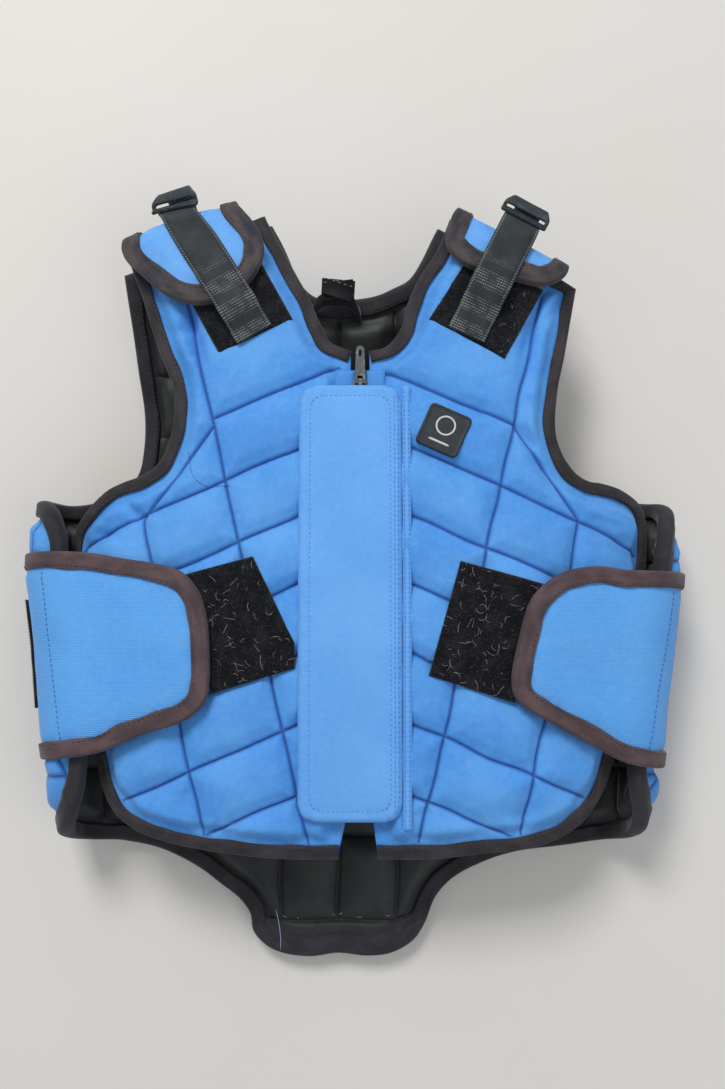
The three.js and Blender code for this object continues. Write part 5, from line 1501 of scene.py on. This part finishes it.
def build_strap(side):
    shoulder = SHOULDERS[side]
    end, top = ([v * CAP_SIZE for v in shoulder[k]] for k in ("end", "top"))
    lean = math.atan2(top[0] - end[0], top[1] - end[1])
    turn = math.radians(shoulder["loop_turn"])
    cap_foot = min(s for _, s in shoulder["outline"]) * CAP_SIZE
    t = np.linspace(0, 1, 70)
    s = mix(end[1], top[1], t)
    over_cap = smooth((s - (cap_foot - STRAP_CLIMB_START)) / STRAP_CLIMB)
    over_bar = smooth((s - (top[1] - BAR_CLIMB_START)) / BAR_CLIMB)
    low = mix(STRAP_THICK / 2 - CAP_HALF, STRAP_LOW, over_cap)
    w = mix(low, BAR_MIDDLE - FOLD_RADIUS + STRAP_LIFT, over_bar)
    stations = list(zip(mix(end[0], top[0], t), s, w, mix(-lean, turn, smooth((t - 0.55) / 0.4))))
    for angle in np.linspace(0, math.pi / 2, 8)[1:]:
        stations.append((top[0], top[1] + SLOT_PLACE * math.sin(angle),
                         BAR_MIDDLE + STRAP_LIFT - FOLD_RADIUS * math.cos(angle), turn))
    stations.append((top[0], top[1] + SLOT_PLACE, BAR_MIDDLE + 2 * STRAP_LIFT, turn))
    ribbon(f"strap_{side}", side, stations, STRAP_WIDTH, STRAP_THICK, f"shoulder_strap_{side}")
    build_loop(side, top, turn)
    far_run = LOOP_WALL + LOOP_GAP
    far, tab_u = top[1] + far_run * math.cos(turn), top[0] - far_run * math.sin(turn)
    fold = STRAP_THICK / 2 + LAYER_GAP
    middle = BAR_MIDDLE - LOOP_WALL / 2 - STRAP_THICK / 2 - LAYER_GAP - fold
    tab = [(tab_u, mix(far + TAB_RUN, far, t), middle + fold, turn) for t in np.linspace(0, 1, 16)]
    for angle in np.linspace(0, math.pi, 12)[1:-1]:
        tab.append((tab_u, far - fold * math.sin(angle), middle + fold * math.cos(angle), turn))
    tab += [(tab_u, mix(far, far + TAB_RUN, t), middle - fold, turn) for t in np.linspace(0, 1, 16)]
    drape = tipped_drape(side, top, turn)
    ribbon(f"tab_{side}", side, tab, STRAP_WIDTH - TAB_NARROWER, STRAP_THICK, f"loop_tab_{side}", drape)


def build_loop(side, top, turn):
    """A moulded loop: a plate with rounded edges and a narrow slot for the strap."""
    drape = tipped_drape(side, top, turn)
    across = STRAP_WIDTH / 2 + FOLD_CLEARANCE
    slot_low, slot_high = SLOT_PLACE - LOOP_SLOT / 2, SLOT_PLACE + LOOP_SLOT / 2
    near, far = slot_low - LOOP_NEAR, slot_high + LOOP_PLATE
    inner = Outline(rounded_box(-across, across, slot_low, slot_high, 0.6), 2, 1).xy
    outer = Outline(rounded_box(-across - LOOP_WALL, across + LOOP_WALL, near, far, 1.8), 2, 1).xy
    outer[:, 0] *= 1 - LOOP_TAPER * smooth((outer[:, 1] - slot_high) / LOOP_PLATE)
    inner = resample(np.vstack([inner, inner[:1]]), 96)[:-1]
    outer = resample(np.vstack([outer, outer[:1]]), 96)[:-1]
    start = np.argmin(np.hypot(*(outer - inner[0]).T))
    outer = np.roll(outer, -start, 0)
    angle = np.linspace(0, 2 * math.pi, 24, endpoint=False)
    share = 0.5 - 0.5 * np.sign(np.cos(angle)) * np.abs(np.cos(angle)) ** 0.35
    rise = np.sign(np.sin(angle)) * np.abs(np.sin(angle)) ** 0.35 * LOOP_WALL / 2
    q = mix(inner[:, None, 0], outer[:, None, 0], share)
    p = mix(inner[:, None, 1], outer[:, None, 1], share)
    cx, cy = math.cos(turn), math.sin(turn)
    sections = drape(top[0] + q * cx - p * cy, top[1] + q * cy + p * cx, BAR_MIDDLE + rise, BAR_MIDDLE)
    piece = sweep(f"loop_{side}", sections, [LOOP_PLASTIC], True)
    finish_piece(piece, [f"strap_loop_{side}"])


for side in SIGNS:
    build_cap(side)
    build_strap(side)


# A bare rubber badge with a raised rim, a plain ring and a bar
def build_badge():
    turn = math.radians(BADGE_TURN)
    half, high = BADGE_SIZE / 2, PATCH_GAP + BADGE_THICK
    middle = np.array([0.255 * HALF_WIDTH, 0.384 * SHOULDER_RISE])

    def place(x, y):
        return (middle[0] + x * math.cos(turn) - y * math.sin(turn),
                middle[1] + x * math.sin(turn) + y * math.cos(turn))

    def rim(xy, info):
        return -BADGE_SUNK * smooth((info["edge"] - BADGE_RIM) / 0.5)

    rows = [place(*r[:2]) + tuple(r[2:]) for r in rounded_box(-half, half, -half, half, 3)]
    _, piece = flat_patch("badge", rows, PATCH_GAP, high, RUBBER, 0.7, 0.6, rim, 8)
    finish_piece(piece, ["chest_badge"])
    face = high - BADGE_SUNK
    section = (5.2, -0.1), (5.35, 0.35), (6.25, 0.35), (6.4, -0.1)
    ring = []
    for a in np.linspace(0, 2 * math.pi, 60, endpoint=False):
        c, d = math.cos(a), math.sin(a)
        ring.append([drape_front(*place(r * c, 3 + r * d), face + up) for r, up in section])
    finish_piece(sweep("badge_ring", np.array(ring), [RUBBER_PALE], True))
    bar = [drape_front(*place(x, -8.2), face) for x in np.linspace(-7, 7, 12)]
    finish_piece(tubes("badge_bar", [bar], 0.75, RUBBER_PALE, 10))


build_badge()


# Side label, hanging loop and a folded blank size label
def build_labels():
    y0 = -0.075 * HEM_DROP
    ys = np.linspace(y0, y0 - SIDE_LABEL_LENGTH, 40)
    shares = np.linspace(-0.5, 0.5, 10)
    widest = flat_half(ys, -1) + SIDE_RADIUS * math.pi / 2
    a = -widest[:, None] - shares * SIDE_LABEL_WIDTH
    wave = 0.15 * ripple(a, ys[:, None] + 0 * a, 14, 2)
    outer = drape_back(a, ys[:, None], -3.4 + wave)
    inner = drape_back(a, ys[:, None], -2.4 + wave)
    sections = np.concatenate([outer, inner[:, ::-1]], 1)
    uv = np.stack([np.concatenate([a, a[:, ::-1]], 1), np.repeat(ys[:, None], 20, 1)], -1)
    piece = sweep("side_label_cloth", sections, [LABEL], False, uv)
    finish_piece(piece, ["side_label"])

    def surface(xy, lift):
        return drape_back(*xy.T, -3.5 - lift)

    border = []
    for share in (-SIDE_LABEL_SEAM, SIDE_LABEL_SEAM):
        path = np.stack([-widest - share * SIDE_LABEL_WIDTH, ys], -1)
        border += stitches(surface, path, *LABEL_STITCH)
    piece = tubes("side_label_border", border, 0.4, LABEL_EDGE, 4)
    finish_piece(piece)

    hanger_x, tape, width = -0.066 * HALF_WIDTH, HANGER_TAPE, HANGER_WIDTH
    foot = LIP_MIDDLE + LIP / 2 + ROLLED_CLEARANCE + TAPE_CLOTH + LAYER_GAP
    loop_foot = 0.812 * SHOULDER_RISE - width - 2
    sections = []
    for angle in np.linspace(0, math.pi, 30):
        row = []
        lean = HANGER_LEAN * math.sin(angle) - 3
        squared = math.copysign(abs(math.cos(angle)) ** 0.6, math.cos(angle))
        for out, dy in ((0, 0), (0, width / 2), (0, width), (tape, width), (tape, width / 2), (tape, 0)):
            x = hanger_x - (HANGER_REACH + out) * squared * (1 - 0.12 * math.sin(angle))
            height = foot + (HANGER_RISE + out) * math.sin(angle)
            row.append(drape_back(x, loop_foot + dy + lean, height))
        sections.append(row)
    piece = sweep("hanger", np.array(sections), [HANGER])
    finish_piece(piece, ["hanger_loop"])
    label_foot = foot + HANGER_RISE + tape + LAYER_GAP
    half = SIZE_LABEL_HALF
    section = (-half, 0), (0, 0.1), (half, 0), (half, 0.4), (0, 0.5), (-half, 0.4)
    marks = []
    for i, (turn, lift) in enumerate(((-4, 0.0), (5, 0.55), (-14, 1.1))):
        c, d = math.cos(math.radians(turn)), math.sin(math.radians(turn))
        rows = []
        for t in np.linspace(0, 1, 12):
            row = []
            for q, h in section:
                px, py = q * (1 - 0.06 * i), (t - 0.5) * (SIZE_LABEL_HEIGHT - 1.5 * i)
                x, y = hanger_x + 2 + px * c - py * d, loop_foot + 17 + px * d + py * c
                curl = 2.2 * (t - 0.5) ** 2 * (i + 1)
                row.append(drape_back(x, y, label_foot + lift + h + curl))
            rows.append(row)
        top_edge = np.array(rows[-1][3:][::-1])
        for a in np.linspace(0.06, 0.86, 5):
            marks.append(mix(top_edge[0], top_edge[2], np.linspace(a, a + 0.09, 4)[:, None]))
        piece = sweep(f"size_label_{i}", np.array(rows), [LABEL])
        finish_piece(piece, ["size_label"] if i == 0 else ())
    finish_piece(tubes("size_label_fray", marks, 0.22, LABEL_EDGE, 4))


build_labels()


# Lint and loose threads
def build_lint():
    """Bits of pale thread that cling to the lining, and one long blue thread over the tail's edge."""
    rng = np.random.default_rng(21)
    bits = []
    for x, y in ((-46, -221), (-38, -222), (-14, -220), (-10, -223), (4, -221), (-12, -219), (22, -220)):
        t = np.linspace(0, 1, 7)
        turn = rng.uniform(0, math.pi)
        reach = rng.uniform(2, 5)
        bits.append(drape_back(x + reach * t * math.cos(turn), y + reach * t * math.sin(turn) * 0.4,
                               PAD + 1.0 + 0.8 * np.sin(math.pi * t)))
    finish_piece(tubes("lint", bits, 0.12, PALE_THREAD, 3))
    t = np.linspace(0, 1, 14)
    over = drape_back(-53 + 3 * np.sin(2 * t), mix(-216, -243, t), PAD + 1.5 - 5 * t ** 2)
    finish_piece(tubes("loose_thread", [over], 0.2, SKY_THREAD, 4))


build_lint()


# Floor, light and camera
def build_stage():
    bpy.ops.mesh.primitive_plane_add(size=30, location=(0, 0, -0.0005))
    floor = bpy.context.object
    floor.name = "floor"
    floor.data.materials.append(floor_paint())
    for name, place, size, power, colour in (
        ("key", (-0.8, 2.0, 2.4), 1.0, 64, (1.0, 0.99, 0.97)),
        ("fill", (1.2, -0.9, 2.0), 1.8, 9, (0.95, 0.98, 1.0)),
    ):
        lamp = bpy.data.lights.new(name, "AREA")
        lamp.size = size
        lamp.energy = power
        lamp.color = colour
        lit = bpy.data.objects.new(name, lamp)
        lit.location = place
        lit.rotation_euler = (Vector((0, 0, 0.05)) - Vector(place)).to_track_quat("-Z", "Y").to_euler()
        bpy.context.scene.collection.objects.link(lit)
    world = bpy.data.worlds.new("studio")
    world.use_nodes = True
    world.node_tree.nodes["Background"].inputs["Color"].default_value = (0.93, 0.96, 1.0, 1)
    world.node_tree.nodes["Background"].inputs["Strength"].default_value = 0.46
    bpy.context.scene.world = world
    bpy.context.scene.view_settings.view_transform = "Standard"


def build_camera():
    camera = bpy.data.objects.new("camera", bpy.data.cameras.new("camera"))
    camera.data.sensor_width = 36
    camera.data.lens = 34.58
    camera.location = (0.004, -0.0455, 0.73046)
    camera.rotation_euler = (math.radians(5.75), 0, 0)
    bpy.context.scene.collection.objects.link(camera)
    bpy.context.scene.camera = camera


build_stage()
build_camera()
